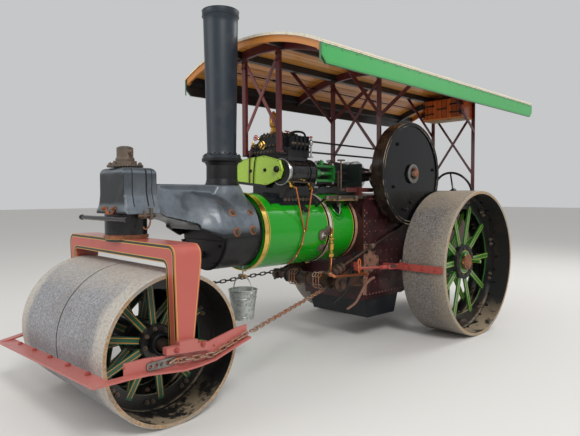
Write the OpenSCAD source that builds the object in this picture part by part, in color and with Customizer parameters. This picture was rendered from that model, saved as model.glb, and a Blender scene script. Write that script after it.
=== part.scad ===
/* [Rolls and axles] */
// Distance between the rear axle and the front axle
wheelbase = 3550; // [3450:10:3700]
// Diameter of the two rear rolls
rear_roll_d = 1560; // [1500:10:1600]
// Width of each rear roll
rear_roll_w = 485; // [420:5:520]
// Distance between the inner faces of the rear rolls
rear_roll_track = 1200; // [1196:2:1240]
// Thickness of the rear rolls' rim plate
rear_rim_t = 34; // [24:2:44]
// Diameter of the front roll
front_roll_d = 1020; // [960:10:1060]
// Length of each half of the front roll
front_roll_w = 690; // [640:5:700]
// Gap between the two halves of the front roll
front_roll_gap = 8; // [6:1:20]
// Thickness of the front roll's rim plate
front_rim_t = 30; // [20:2:40]
// Diameter of the rear axle
rear_axle_d = 116; // [90:2:130]
// Diameter of the front axle
front_axle_d = 90; // [70:2:100]
// Spokes on each side of a rear roll
rear_spokes = 10; // [6:1:10]
// Spokes in each half of the front roll
front_spokes = 10; // [6:1:10]

/* [Boiler] */
// Height of the boiler's centre line above the ground
boiler_z = 1196; // [1180:2:1210]
// Outer diameter of the boiler cladding
cladding_d = 685; // [670:5:700]
// Outer diameter of the smokebox
smokebox_d = 610; // [600:5:640]
// Front face of the smokebox, ahead of the rear axle
smokebox_front = 2830; // [2780:10:2860]
// Joint between boiler barrel and smokebox, ahead of the rear axle
barrel_front = 2440; // [2420:5:2460]
// Front of the firebox, ahead of the rear axle
barrel_rear = 1190; // [1170:5:1200]
// Width of the polished bands
band_w = 48; // [30:2:60]
// Width over the hornplates
hornplate_span = 820; // [800:2:836]
// Thickness of the hornplates
hornplate_t = 14; // [10:1:16]

/* [Chimney] */
// Chimney's centre line ahead of the rear axle
chimney_x = 2638; // [2620:2:2650]
// Height of the chimney's top above the ground
chimney_top = 3080; // [2990:10:3150]
// Diameter of the chimney at its foot
chimney_d = 248; // [230:2:260]
// Diameter of the chimney at its top
chimney_top_d = 312; // [290:2:330]

/* [Fork and steering] */
// Distance of the steering pivot behind the front axle
pivot_trail = 18; // [10:2:30]
// Diameter of the steering pivot
pivot_d = 120; // [100:2:140]
// Height of the fork's arch above the ground
fork_top = 1205; // [1190:5:1220]
// Depth of the fork's arch
fork_depth = 118; // [100:2:130]
// Width of a fork leg from side to side
fork_leg_t = 100; // [80:2:106]
// Length of the fork's arch, front to back
fork_length = 204; // [180:2:214]
// Gap between the front roll and the fork's legs
fork_gap = 12; // [8:1:24]
// Height of the headstock's top
head_top = 1722; // [1700:2:1740]
// Underside of the headstock
head_bottom = 1385; // [1376:1:1394]
// How far the scraper frame's right end hangs down
frame_droop = 85; // [0:5:90]

/* [Engine] */
// Crankshaft ahead of the rear axle
crank_x = 570; // [560:2:580]
// Height of the crankshaft
crank_z = 1739; // [1730:1:1750]
// Diameter of the flywheel
flywheel_d = 1074; // [1000:2:1090]
// Width of the flywheel's rim
flywheel_w = 140; // [120:2:142]
// Inner face of the flywheel from the machine's middle
flywheel_y = 448; // [444:1:452]
// Front face of the cylinder block
block_front = 2150; // [2140:2:2160]
// Length of the cylinder block
block_len = 350; // [320:5:380]

/* [Canopy] */
// Front edge of the canopy ahead of the rear axle
canopy_front = 2390; // [2350:10:2420]
// Rear edge of the canopy behind the rear axle
canopy_rear = 1748; // [1700:2:1800]
// Width of the canopy
canopy_w = 1854; // [1800:2:1900]
// Height of the canopy at its sides
canopy_side_z = 2710; // [2690:5:2730]
// Height of the canopy's crown
canopy_crown_z = 2913; // [2890:5:2940]
// Thickness of the canopy's boards
canopy_t = 22; // [16:1:30]
// Depth of the side valances
valance_h = 178; // [150:2:200]
// Width of a canopy post
post_w = 48; // [40:2:56]

/* [Tender] */
// Rear of the tender behind the rear axle
tender_rear = 1430; // [1400:10:1460]
// Width of the tender
tender_w = 812; // [780:2:816]
// Top edge of the tender
tender_top = 1440; // [1400:10:1480]
// Height of the footplate above the rear axle's centre
footplate_rise = 150; // [130:5:170]

/* [Hidden] */

// Clearances: shaft in its bore, pieces that are bolted face to face, and pieces that move past others
run_gap = 0.06;
seat_gap = 0.3;
move_gap = 6;

// Derived places
rear_r = rear_roll_d / 2;
front_r = front_roll_d / 2;
roll_in_y = rear_roll_track / 2;
roll_out_y = roll_in_y + rear_roll_w;
front_in_y = front_roll_gap / 2;
front_out_y = front_in_y + front_roll_w;
front_z = front_r;
axle_z = rear_r;
footplate_z = axle_z + footplate_rise;
pivot_x = wheelbase - pivot_trail;
cladding_r = cladding_d / 2;
smokebox_r = smokebox_d / 2;
horn_y = hornplate_span / 2;
leg_in_y = front_out_y + fork_gap;
leg_out_y = leg_in_y + fork_leg_t;
fork_mid_x = pivot_x - 6;

// The machine is drawn from its rear axle, then moved so that its middle is at the origin
scraper_reach = wheelbase + 640;
machine_shift = (canopy_rear - scraper_reach) / 2;

module placed() { translate([machine_shift, 0, 0]) children(); }

// Shapes between named planes
module block(x, y, z) { translate([x[0], y[0], z[0]]) cube([x[1] - x[0], y[1] - y[0], z[1] - z[0]]); }
module rod_x(y, z, r, x) {
    translate([x[0], y, z]) rotate([0, 90, 0]) cylinder(r = r, h = x[1] - x[0], $fn = 64);
}
module rod_y(x, z, r, y) {
    translate([x, y[0], z]) rotate([-90, 0, 0]) cylinder(r = r, h = y[1] - y[0], $fn = 64);
}
module rod_z(x, y, r, z) {
    translate([x, y, z[0]]) cylinder(r = r, h = z[1] - z[0], $fn = 64);
}
// A side view (x, z), as thick as the span y
module side_plate(y) { translate([0, y[1], 0]) rotate([90, 0, 0]) linear_extrude(y[1] - y[0]) children(); }
// A front view (y, z), as thick as the span x
module front_plate(x) { translate([x[0], 0, 0]) rotate([90, 0, 90]) linear_extrude(x[1] - x[0]) children(); }
// Both sides of the machine
module both() { children(); mirror([0, 1, 0]) children(); }
// A round tube through a short list of points, with a rounded fitting at each bend
module tube_run(points, r) {
    for (i = [0 : len(points) - 2]) {
        step = points[i + 1] - points[i];
        length = norm(step);
        translate(points[i])
            rotate([0, acos(step[2] / length), atan2(step[1], step[0])])
                cylinder(r = r, h = length, $fn = 24);
        if (i > 0) translate(points[i]) sphere(r = r * 1.15, $fn = 24);
    }
}
// Outline with rounded corners
module rounded(x, z, r) {
    for (px = [x[0] + r, x[1] - r]) for (pz = [z[0] + r, z[1] - r])
        translate([px, pz]) circle(r = r, $fn = 48);
    translate([x[0] + r, z[0]]) square([x[1] - x[0] - 2 * r, z[1] - z[0]]);
    translate([x[0], z[0] + r]) square([x[1] - x[0], z[1] - z[0] - 2 * r]);
}

// Boiler and smokebox
smokebox_t = 12;
door_pin_y = -284;
door_pin_r = 8;
door_knuckle_r = 14;
door_t = 14;
door_top = boiler_z - 52;
door_r = smokebox_r - 14;
door_pin_x = smokebox_front + seat_gap + door_t + 6;
door_knuckle_z = [door_top - 62, door_top - 22];
door_lug_room = 24;

module smokebox() placed() color("#1b1d20") {
    difference() {
        rod_x(0, boiler_z, smokebox_r, [barrel_front, smokebox_front]);
        rod_x(0, boiler_z, smokebox_r - smokebox_t, [barrel_front + smokebox_t, smokebox_front - smokebox_t]);
        intersection() {
            rod_x(0, boiler_z, door_r - 24, [smokebox_front - 2 * smokebox_t, smokebox_front + 1]);
            block([smokebox_front - 2 * smokebox_t, smokebox_front + 1], [-door_r, door_r],
                  [boiler_z - door_r, door_top - 24]);
        }
    }
    // Hinge pin in its two lugs
    rod_z(door_pin_x, door_pin_y, door_pin_r, [door_knuckle_z[0] - 14, door_knuckle_z[1] + 14]);
    for (z = [door_knuckle_z[0] - 15, door_knuckle_z[1] + 1])
        block([smokebox_front - 4, door_pin_x + 12], [door_pin_y - 14, door_pin_y + 14], [z, z + 14]);
}

module smokebox_door() placed() color("#17181a") {
    difference() {
        union() {
            intersection() {
                rod_x(0, boiler_z, door_r, [smokebox_front + seat_gap, smokebox_front + seat_gap + door_t]);
                block([smokebox_front, smokebox_front + 2 * door_t], [-door_r, door_r],
                      [boiler_z - door_r, door_top]);
            }
            rod_z(door_pin_x, door_pin_y, door_knuckle_r, door_knuckle_z);
            block([smokebox_front + seat_gap, door_pin_x], [door_pin_y, door_pin_y + 60], door_knuckle_z);
        }
        // Room for the lugs above and below the knuckle
        for (z = [door_knuckle_z[0] - door_lug_room, door_knuckle_z[1]])
            block([smokebox_front - 1, smokebox_front + 2 * door_t], [door_pin_y - 30, door_pin_y + 22],
                  [z, z + door_lug_room]);
        rod_z(door_pin_x, door_pin_y, door_pin_r + run_gap, [door_knuckle_z[0] - 1, door_knuckle_z[1] + 1]);
    }
}

module boiler_barrel() placed() color("#1f9a1f") {
    rod_x(0, boiler_z, cladding_r, [barrel_rear + seat_gap, barrel_front - seat_gap]);
}

// Forward edge of each band, then its width
bands = [[barrel_front + 12, band_w], [1630, band_w], [1240, band_w]];
band_t = 6;

module boiler_bands() placed() color("#c9a545") {
    for (band = bands) difference() {
        rod_x(0, boiler_z, cladding_r + band_t, [band[0] - band[1], band[0]]);
        rod_x(0, boiler_z, cladding_r + 0.1, [band[0] - band[1] - 1, band[0] + 1]);
    }
}

// Headstock: the saddle on the smokebox, the neck and the head that holds the pivot
saddle_t = 34;
saddle_rear = 2492;
saddle_front = 2894;
saddle_edge_z = 1178;
saddle_r = smokebox_r + saddle_t;
neck_top = 1607;
neck_half_w = 100;
head_rear = pivot_x - 152;
head_front = pivot_x + 113;
head_half_w = 192;
head_foot_w = 245;
head_round = 45;
flare_r = 315;

// Sections of the neck's flanks: x, lower edge, half width there, upper edge, two exponents of the flank
neck_sections = [
    [smokebox_front + 6, saddle_edge_z + 3, saddle_r - 3, 1537, 2.0, 0.50],
    [smokebox_front + 50, saddle_edge_z + 6, saddle_r - 5, 1538, 2.0, 0.55],
    [smokebox_front + 130, 1215, 300, 1545, 1.6, 0.75],
    [smokebox_front + 215, 1281, 255, 1552, 1.2, 0.90],
    [smokebox_front + 295, 1310, 222, 1556, 1.0, 1.00],
    [pivot_x - 321, 1330, 205, 1560, 1.0, 1.00],
    [pivot_x - 232, 1352, 207, 1572, 0.9, 1.00],
    [pivot_x - 172, head_bottom - 4, 232, 1640, 0.7, 1.00],
    [pivot_x - 130, head_bottom + 1, 240, 1690, 0.6, 1.00]];
flank_steps = 8;

// Half width of a section at height t, from 0 at its lower edge to 1 at its top
function flank_w(cut, t) = neck_half_w + (cut[2] - neck_half_w) * pow(1 - pow(t, cut[4]), cut[5]);
function flank_ring(cut) = concat(
    [for (i = [0 : flank_steps]) [cut[0], flank_w(cut, i / flank_steps),
                                  cut[1] + (cut[3] - cut[1]) * i / flank_steps]],
    [for (i = [flank_steps : -1 : 0]) [cut[0], -flank_w(cut, i / flank_steps),
                                       cut[1] + (cut[3] - cut[1]) * i / flank_steps]]);

// A closed skin over rings that have as many points each
module skin(rings) {
    n = len(rings[0]);
    last = len(rings) - 1;
    polyhedron(
        points = [for (ring = rings) for (p = ring) p],
        faces = concat(
            [[for (i = [0 : n - 1]) i]],
            [[for (i = [n - 1 : -1 : 0]) last * n + i]],
            [for (k = [0 : last - 1]) for (i = [0 : n - 1])
                [k * n + i, (k + 1) * n + i, (k + 1) * n + (i + 1) % n]],
            [for (k = [0 : last - 1]) for (i = [0 : n - 1])
                [k * n + i, (k + 1) * n + (i + 1) % n, k * n + (i + 1) % n]]));
}

module head_front_view() {
    difference() {
        union() {
            rounded([-head_half_w, head_half_w], [head_bottom, head_top], head_round);
            polygon([[-head_foot_w, head_bottom], [head_foot_w, head_bottom],
                     [head_half_w - 1, head_bottom + 190], [-head_half_w + 1, head_bottom + 190]]);
        }
        // Sides flare towards the foot
        for (side = [-1, 1]) translate([side * (head_half_w + flare_r), head_bottom + 190])
            circle(r = flare_r, $fn = 128);
    }
}

module headstock() placed() color("#24272a") {
    difference() {
        union() {
            // Saddle round the smokebox
            difference() {
                rod_x(0, boiler_z, saddle_r, [saddle_rear, saddle_front]);
                block([saddle_rear - 1, saddle_front + 1], [-saddle_r - 1, saddle_r + 1],
                      [boiler_z - saddle_r - 1, saddle_edge_z]);
            }
            skin([for (cut = neck_sections) flank_ring(cut)]);
            // Rib along the neck's top
            block([chimney_x, head_rear + 20], [-neck_half_w, neck_half_w], [neck_top - 100, neck_top]);
            // Foot of the chimney base
            intersection() {
                translate([chimney_x, 0, 0]) rotate_extrude($fn = 96) polygon([
                    [0, 1380], [290, 1380], [262, 1425], [222, 1480], [190, 1530], [167, 1575],
                    [152, neck_top], [0, neck_top]]);
                block([saddle_rear, saddle_front], [-saddle_r, saddle_r], [saddle_edge_z, neck_top]);
            }
            // Head
            intersection() {
                front_plate([head_rear, head_front + 20]) head_front_view();
                side_plate([-head_foot_w, head_foot_w]) {
                    rounded([head_rear, head_front], [head_bottom, head_top], 36);
                    polygon([[head_rear, head_bottom], [head_front + 12, head_bottom],
                             [head_front, head_bottom + 70], [head_rear, head_bottom + 70]]);
                }
            }
        }
        // Seat on the smokebox, left open ahead of the door
        rod_x(0, boiler_z, smokebox_r + 0.1, [saddle_rear - 1, smokebox_front]);
        rod_x(0, boiler_z, smokebox_r - 6, [smokebox_front - 1, saddle_front + 90]);
        // Bore for the steering pivot
        rod_z(pivot_x, 0, pivot_d / 2 + run_gap, [head_bottom - 10, head_top + 1]);
    }
}

// Chimney on its cast base
base_flange_r = 172;
base_pillar_r = 133;
base_top = 1832;

module chimney_base() placed() color("#22262b") {
    translate([chimney_x, 0, 0]) difference() {
        rotate_extrude($fn = 96) {
            polygon([[0, neck_top], [base_pillar_r + 17, neck_top], [base_pillar_r + 6, neck_top + 22],
                     [base_pillar_r, neck_top + 50], [base_pillar_r, base_top - 60],
                     [base_pillar_r + 14, base_top - 34], [base_flange_r - 6, base_top - 28],
                     [base_flange_r, base_top - 20], [base_flange_r, base_top], [0, base_top]]);
        }
        translate([0, 0, neck_top - 1]) cylinder(r = chimney_d / 2 - 16, h = base_top, $fn = 64);
    }
}

module chimney() placed() color("#2b333a") {
    height = chimney_top - base_top - seat_gap;
    translate([chimney_x, 0, base_top + seat_gap]) rotate_extrude($fn = 96) polygon([
        [chimney_d / 2 - 8, 0], [base_flange_r - 8, 0], [base_flange_r - 8, 22], [chimney_d / 2 + 10, 26],
        [chimney_d / 2 + 4, 40], [chimney_d / 2, 62], [chimney_top_d / 2 - 8, height - 60],
        [chimney_top_d / 2, height - 52], [chimney_top_d / 2, height], [chimney_top_d / 2 - 16, height],
        [chimney_top_d / 2 - 18, height - 60]]);
}

// Engine on top of the boiler. Cylinders: place across the machine, height of the axis, outer radius
cylinders = [[215, 1728, 120], [-235, 1738, 116]];
block_bottom = 1612;
block_top = 1865;
block_rear = block_front - block_len;
foot_half_w = 184;
cover_t = 20;
chest_top = 2090;
barrel_l = 50;
barrel_ring = 8;

// Outline of the cover, from the far side's lower corner round to the near side
cover_outline = [[-386, 1659], [-408, 1690], [-408, 1747], [-307, 1858], [26, 1880], [226, 1833], [262, 1742],
                 [226, 1668], [51, 1614]];

module cylinder_block() placed() color("#1a1b1d") {
    // Both cylinders, with an end ring and a flange each
    for (c = cylinders) {
        rod_x(c[0], c[1], c[2], [block_rear, block_front - 40]);
        rod_x(c[0], c[1], c[2] + barrel_ring, [block_rear + barrel_l, block_rear + barrel_l + 22]);
    }
    rod_x(cylinders[0][0], cylinders[0][1], cylinders[0][2] - 4, [block_front - 50, block_front - 6]);
    // Web between the cylinders, under the chest
    front_plate([block_rear + barrel_l, block_front - 45])
        polygon([[-300, 1640], [-60, block_bottom], [180, block_bottom], [280, 1700], [270, block_top],
                 [-300, block_top]]);
    // Plate that the cover is bolted to
    front_plate([block_front - 49, block_front]) polygon(cover_outline);
    // Lip under the cover
    front_plate([block_front - 61, block_front + cover_t + 8])
        polygon([[-386, 1658], [51, 1613], [51, 1588], [-386, 1633]]);
    difference() {
        block([block_rear - 60, block_front - 20], [-foot_half_w, foot_half_w],
              [boiler_z + 200, block_bottom + 40]);
        rod_x(0, boiler_z, cladding_r + band_t + seat_gap, [block_rear - 100, block_front + 1]);
    }
}

module cylinder_cover() placed() color("#9fce2a") {
    front_plate([block_front + seat_gap, block_front + seat_gap + cover_t]) polygon(cover_outline);
}

// Chest on top of the cylinders: broad box, sloped trunk and a ribbed cover on the near side
chest_x = [block_rear + 30, block_front - 50];
chest_foot_top = 1950;
trunk_x = [chest_x[0] + 50, chest_x[1] - 20];
trunk_outline = [[-290, 1948], [-290, 1962], [-150, 2026], [-122, chest_top], [168, chest_top], [205, 2050],
                 [205, 1948]];
rib_cover_y = [200, 292];
rib_cover_x = [block_rear + 60, block_rear + 250];
rib_step = 52;

module valve_chest() placed() color("#17181a") {
    block(chest_x, [-300, 270], [block_top + seat_gap, chest_foot_top]);
    front_plate(trunk_x) polygon(trunk_outline);
    block(rib_cover_x, rib_cover_y, [chest_foot_top - 1, 2046]);
    // Lugs that carry the canopy's front posts
    both() block([chest_x[1] - 1, posts[0][0] + post_w / 2],
                 [posts[0][1] - post_w / 2, posts[0][1] + post_w / 2], [post_lug_z - 16, post_lug_z]);
    for (x = [rib_cover_x[0] + 12 : rib_step : rib_cover_x[1]])
        block([x - 6, x + 6], [rib_cover_y[0], rib_cover_y[1] + 14], [chest_foot_top - 20, 2058]);
}

post_lug_z = block_top + 36;
valve_x = 2030;

module safety_valve() placed() color("#c99a3a") {
    translate([valve_x, 0, chest_top + seat_gap]) rotate_extrude($fn = 48) polygon([
        [0, 0], [42, 0], [42, 12], [30, 18], [24, 60], [34, 70], [38, 84], [38, 178], [30, 196], [14, 204],
        [10, 214], [0, 216]]);
}

// Firebox between the hornplates
firebox_rear = 500;
firebox_half_w = horn_y - hornplate_t - seat_gap;
firebox_bottom = 446;
horn_top = 1515;
bearing_half = 105;

module firebox() placed() color("#3a1517") {
    front_plate([firebox_rear, barrel_rear]) {
        translate([0, boiler_z]) circle(r = cladding_r, $fn = 96);
        polygon([[-firebox_half_w, firebox_bottom], [firebox_half_w, firebox_bottom],
                 [firebox_half_w, boiler_z + 90], [cladding_r * 0.8, boiler_z + cladding_r * 0.6],
                 [-cladding_r * 0.8, boiler_z + cladding_r * 0.6], [-firebox_half_w, boiler_z + 90]]);
    }
}

gusset_t = 8;
// Shelves inside the plates, under the canopy's middle posts
shelf_x = [720, 900];
shelf_y = 262;
shelf_t = 16;

module hornplates() placed() color("#431a1c") {
    both() {
        side_plate([horn_y - hornplate_t, horn_y]) difference() {
            polygon([
                [-170, 600], [firebox_rear, firebox_bottom], [barrel_rear, firebox_bottom + 60],
                [barrel_rear, horn_top - 90], [barrel_rear - 90, horn_top],
                [crank_x + bearing_half + 60, horn_top], [crank_x + bearing_half, crank_z + 70],
                [crank_x - bearing_half, crank_z + 70], [crank_x - bearing_half - 60, horn_top],
                [120, horn_top - 60], [-170, 1180]]);
            translate([crank_x, crank_z]) circle(r = crank_d / 2 + run_gap, $fn = 64);
            translate([0, axle_z]) circle(r = rear_axle_d / 2 + 0.1, $fn = 64);
        }
        // Gusset at the front edge
        side_plate([horn_y - 1, horn_y + gusset_t]) polygon([
            [barrel_rear, 1036], [barrel_rear - 265, 856], [barrel_rear - 230, 759], [barrel_rear, 690]]);
        block(shelf_x, [shelf_y, horn_y - 1], [horn_top - shelf_t, horn_top]);
    }
}

module ashpan() placed() color("#24262b") {
    side_plate([-firebox_half_w + 20, firebox_half_w - 20]) polygon([
        [firebox_rear + 20, firebox_bottom - seat_gap], [barrel_rear - 60, firebox_bottom - seat_gap],
        [barrel_rear - 120, 250], [firebox_rear + 90, 240]]);
}

// Crankshaft, flywheel and motion
crank_d = 84;
throw = 130;
disc_r = 170;
disc_t = 34;
crank_disc_gap = 84;
crank_right_end = 505;
hub_end = flywheel_y + flywheel_w + 44;

guide_plate_top = cylinders[1][1] + 90;

module crankshaft() placed() color("#6b6d70") {
    rod_y(crank_x, crank_z, crank_d / 2, [-crank_right_end, hub_end]);
    for (c = cylinders) for (cheek = [-1, 1])
        rod_y(crank_x, crank_z, disc_r,
              [c[0] + cheek * (crank_disc_gap + disc_t) / 2 - disc_t / 2,
               c[0] + cheek * (crank_disc_gap + disc_t) / 2 + disc_t / 2]);
}

flywheel_rim_t = 34;
flywheel_web_t = 22;

module flywheel() placed() color("#16171a") {
    r = flywheel_d / 2;
    translate([crank_x, flywheel_y, crank_z]) rotate([-90, 0, 0]) rotate_extrude($fn = 128) {
        web = flywheel_w - 34;
        polygon([
            [crank_d / 2, -20], [92, -20], [98, 20], [98, web], [r - flywheel_rim_t, web],
            [r - flywheel_rim_t, 0], [r, 0], [r, flywheel_w], [r - flywheel_rim_t, flywheel_w],
            [r - flywheel_rim_t, web + flywheel_web_t], [98, web + flywheel_web_t], [90, flywheel_w + 12],
            [crank_d / 2, flywheel_w + 12]]);
    }
}

guide_rear = 1330;
// Long rods to the footplate: distance from the middle, height at the engine, height at the levers, front end
control_rods = [[200, 2030, 2012, rib_cover_x[0] - seat_gap], [232, 1923, 1910, chest_x[0] - seat_gap]];
lever_x = 290;
lever_h = 110;

module motion_work() placed() color("#1e6b2c") {
    for (c = cylinders) {
        guide_front = block_rear - 1;
        // Piston rod, gland, crosshead between two guide bars, connecting rod and its big end
        rod_x(c[0], c[1], 20, [guide_rear + 100, guide_front]);
        rod_x(c[0], c[1], 44, [guide_front - 60, guide_front]);
        rod_x(c[0], c[1], 60, [guide_front - 18, guide_front]);
        for (dz = [-70, 70])
            block([guide_rear - 140, guide_front], [c[0] - 26, c[0] + 26], [c[1] + dz - 12, c[1] + dz + 12]);
        block([guide_rear, guide_rear + 130], [c[0] - 34, c[0] + 34], [c[1] - 58, c[1] + 58]);
        rod_y(guide_rear + 60, c[1], 40, [c[0] - 46, c[0] + 46]);
        along([crank_x + throw + 40, c[0], crank_z], [guide_rear + 20, c[0], c[1]])
            cylinder(r1 = 27, r2 = 20, h = guide_rear - crank_x - throw, $fn = 48);
        rod_y(crank_x + throw, crank_z, 62, [c[0] - 36, c[0] + 36]);
    }
    // Plate that carries the guides, seated on the boiler
    difference() {
        block([guide_rear - 140, guide_rear - 100], [-horn_y + hornplate_t + 1, horn_y - hornplate_t - 1],
              [boiler_z + cladding_r - 40, guide_plate_top]);
        rod_x(0, boiler_z, cladding_r + band_t + seat_gap, [guide_rear - 141, guide_rear - 99]);
    }
    // Side beams of the guide plate
    both() block([guide_rear - 370, guide_rear + 70], [340, 362], [1547, 1590]);
    // Rods to the footplate and the levers that work them
    for (rod = control_rods) {
        along([lever_x, rod[0], rod[2]], [rod[3], rod[0], rod[1]])
            cylinder(r = 9, h = norm([rod[3] - lever_x, rod[1] - rod[2]]), $fn = 32);
        block([lever_x - 14, lever_x + 14], [rod[0] - 7, rod[0] + 7],
              [footplate_z + seat_gap, rod[2] + lever_h]);
    }
}

// Guard over the gears on the right-hand side
guard_in = horn_y + seat_gap;
guard_out = roll_in_y - move_gap - 6;

module gear_guard() placed() color("#3b1a1c") {
    difference() {
        side_plate([-guard_out, -guard_in]) {
            translate([crank_x, crank_z]) circle(r = 150, $fn = 96);
            translate([0, axle_z]) circle(r = 330, $fn = 96);
            polygon([[crank_x + 150, crank_z], [crank_x - 150, crank_z], [-330, axle_z], [330, axle_z]]);
        }
        rod_y(crank_x, crank_z, crank_d / 2 + 20, [-guard_in - 110, -guard_in + 1]);
        rod_y(0, axle_z, rear_axle_d / 2 + 0.1, [-guard_out - 1, -guard_in + 1]);
    }
}

// Tender: tank below, bunker behind, sides beside the footplate
tender_t = 12;
tender_front = 170 + seat_gap;
tank_bottom = 470;
bunker_front = 900;
side_cut_rear = 720;

module tender() placed() color("#2b1214") {
    half = tender_w / 2;
    difference() {
        block([-tender_rear, -tender_front], [-half, half], [tank_bottom, tender_top]);
        block([-bunker_front, -tender_front + 1], [-half + tender_t, half - tender_t],
              [footplate_z, tender_top + 1]);
        block([-tender_rear + tender_t, -bunker_front - tender_t], [-half + tender_t, half - tender_t],
              [footplate_z - 200, tender_top + 1]);
        // Sides cut down where the crew climbs up
        side_plate([-half - 1, half + 1]) polygon([
            [-tender_front + 1, footplate_z + 140], [-side_cut_rear, footplate_z + 140],
            [-side_cut_rear - 130, tender_top + 1],
            [-tender_front + 1, tender_top + 1]]);
    }
}

module footplate() placed() color("#3a3c3e") {
    block([-tender_front, firebox_rear - seat_gap],
          [-horn_y + hornplate_t + seat_gap, horn_y - hornplate_t - seat_gap],
          [footplate_z - 12, footplate_z]);
}

// Canopy
canopy_half = canopy_w / 2;
canopy_rise = canopy_crown_z - canopy_side_z;
canopy_r = (canopy_half * canopy_half + canopy_rise * canopy_rise) / (2 * canopy_rise);
function roof_z(y, drop = 0) = canopy_crown_z - canopy_r + sqrt(pow(canopy_r - drop, 2) - y * y);
hoop_depth = 78;
hoop_t = 34;
end_board_depth = 54;
end_board_t = 20;
beam_y = 286;
beam_w = 40;
beam_depth = 62;
side_rail_y = 884;
valance_t = 20;
// Posts: ahead of the rear axle, from the middle, foot
posts = [[2172, 234, post_lug_z], [790, 322, horn_top],
    [-tender_rear + tender_t + seat_gap + post_w / 2, 302, tender_top - 400]];
post_t = 10;
brace_w = 32;
brace_t = 9;
knee_run = 700;
knee_rise = 495;
// Knees: which post, and its direction along the machine
knees = [[1, 1], [1, -1], [2, 1]];
// Crossed braces: which posts, lower ends, upper ends
crossed = [[0, 2090, 2760], [1, 1950, 2748], [2, 1790, 2640]];

module roof_band(outer_drop, inner_drop, half) {
    intersection() {
        translate([0, canopy_crown_z - canopy_r]) difference() {
            circle(r = canopy_r - outer_drop, $fn = 360);
            circle(r = canopy_r - inner_drop, $fn = 360);
        }
        translate([-half, canopy_side_z - 120]) square([2 * half, canopy_rise + 200]);
    }
}

module canopy_roof() placed() color("#d9d2bd") {
    front_plate([-canopy_rear, canopy_front]) roof_band(0, canopy_t, canopy_half);
}

module canopy_frame() placed() color("#4a2020") {
    half = canopy_half - valance_t - seat_gap;
    for (post = posts) front_plate([post[0] - hoop_t / 2, post[0] + hoop_t / 2])
        roof_band(canopy_t + seat_gap, canopy_t + hoop_depth, half);
    for (x = [-canopy_rear + 20, canopy_front - 20]) front_plate([x - end_board_t / 2, x + end_board_t / 2])
        roof_band(canopy_t + seat_gap, canopy_t + end_board_depth, half);
    // Two beams along the machine and a rail beside each valance
    intersection() {
        front_plate([-canopy_rear + 20, canopy_front - 20])
            roof_band(canopy_t + seat_gap, canopy_t + beam_depth, half);
        for (y = [-side_rail_y, -beam_y, beam_y, side_rail_y])
            block([-canopy_rear, canopy_front], [y - beam_w / 2, y + beam_w / 2],
                  [canopy_side_z - 200, canopy_crown_z]);
    }
}

// A flat bar in a plane across the machine, from one point (y, z) to another
module cross_bar(x, from, to) {
    run = norm(to - from);
    translate([x, from[0], from[1]]) rotate([atan2(to[1] - from[1], to[0] - from[0]), 0, 0])
        translate([0, 0, -brace_w / 2]) cube([brace_t, run, brace_w]);
}

module canopy_posts() placed() color("#4a1a1c") {
    both() for (post = posts) {
        top = roof_z(post[1] + post_w / 2, canopy_t + hoop_depth) - seat_gap;
        // T section: flange to the front, stem behind it
        block([post[0] + post_w / 2 - post_t, post[0] + post_w / 2],
              [post[1] - post_w / 2, post[1] + post_w / 2], [post[2] + seat_gap, top]);
        block([post[0] - post_w / 2, post[0] + post_w / 2 - 1], [post[1] - post_t / 2, post[1] + post_t / 2],
              [post[2] + seat_gap, top]);
        block([post[0] - post_w / 2, post[0] + post_w / 2], [post[1] - post_w / 2, post[1] + post_w / 2],
              [post[2] + seat_gap, post[2] + 14]);
    }
    for (set = crossed) {
        post = posts[set[0]];
        y = post[1] - 6;
        at = post[0] + post_w / 2 - post_t - brace_t + 1;
        cross_bar(at, [-y, set[1]], [y, set[2]]);
        cross_bar(at - brace_t + 1, [y, set[1]], [-y, set[2]]);
    }
    // Knees run up to the boards beside the posts' outer edges
    both() for (knee = knees) {
        post = posts[knee[0]];
        y = [post[1] + post_w / 2 - brace_t, post[1] + post_w / 2];
        top = roof_z(y[1], canopy_t) - seat_gap - 1;
        side_plate(y) polygon([
            [post[0] + post_w / 2 - 2, top - knee_rise - brace_w],
            [post[0] + knee[1] * (knee_run + brace_w), top - 12],
            [post[0] + knee[1] * (knee_run + brace_w), top],
            [post[0] + knee[1] * (knee_run - brace_w), top],
            [post[0] + post_w / 2 - 2, top - knee_rise + brace_w / 2]]);
    }
}

module valance(side) {
    y = canopy_half - valance_t;
    mirror([0, side < 0 ? 1 : 0, 0]) side_plate([y, canopy_half]) difference() {
        translate([-canopy_rear, canopy_side_z - valance_h])
            square([canopy_front + canopy_rear, valance_h - canopy_t - 4]);
        for (end = [[-canopy_rear, 1], [canopy_front, -1]])
            translate([end[0], canopy_side_z - valance_h]) polygon([[-1, -1], [end[1] * 60, -1], [-1, 60]]);
    }
}

module valance_left() placed() color("#2f7d3a") valance(1);
module valance_right() placed() color("#2f7d3a") valance(-1);

// Locker under the roof, seated on the rear posts
locker_front = -1090;
locker_x = [posts[2][0] + post_w / 2 + seat_gap, locker_front];
locker_half = 288;
locker_z = [2536, roof_z(beam_y + beam_w / 2, canopy_t + beam_depth) - seat_gap];
locker_t = 18;
door_gap = 3;
locker_pin_r = 4;
locker_knuckle_r = 9;
locker_pin_x = locker_x[1] + seat_gap + locker_t + 8;
locker_pin_y = locker_half + 8;
locker_knuckle_z = [locker_z[0] + 60, locker_z[1] - 100];
locker_knuckle_h = 40;

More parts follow.
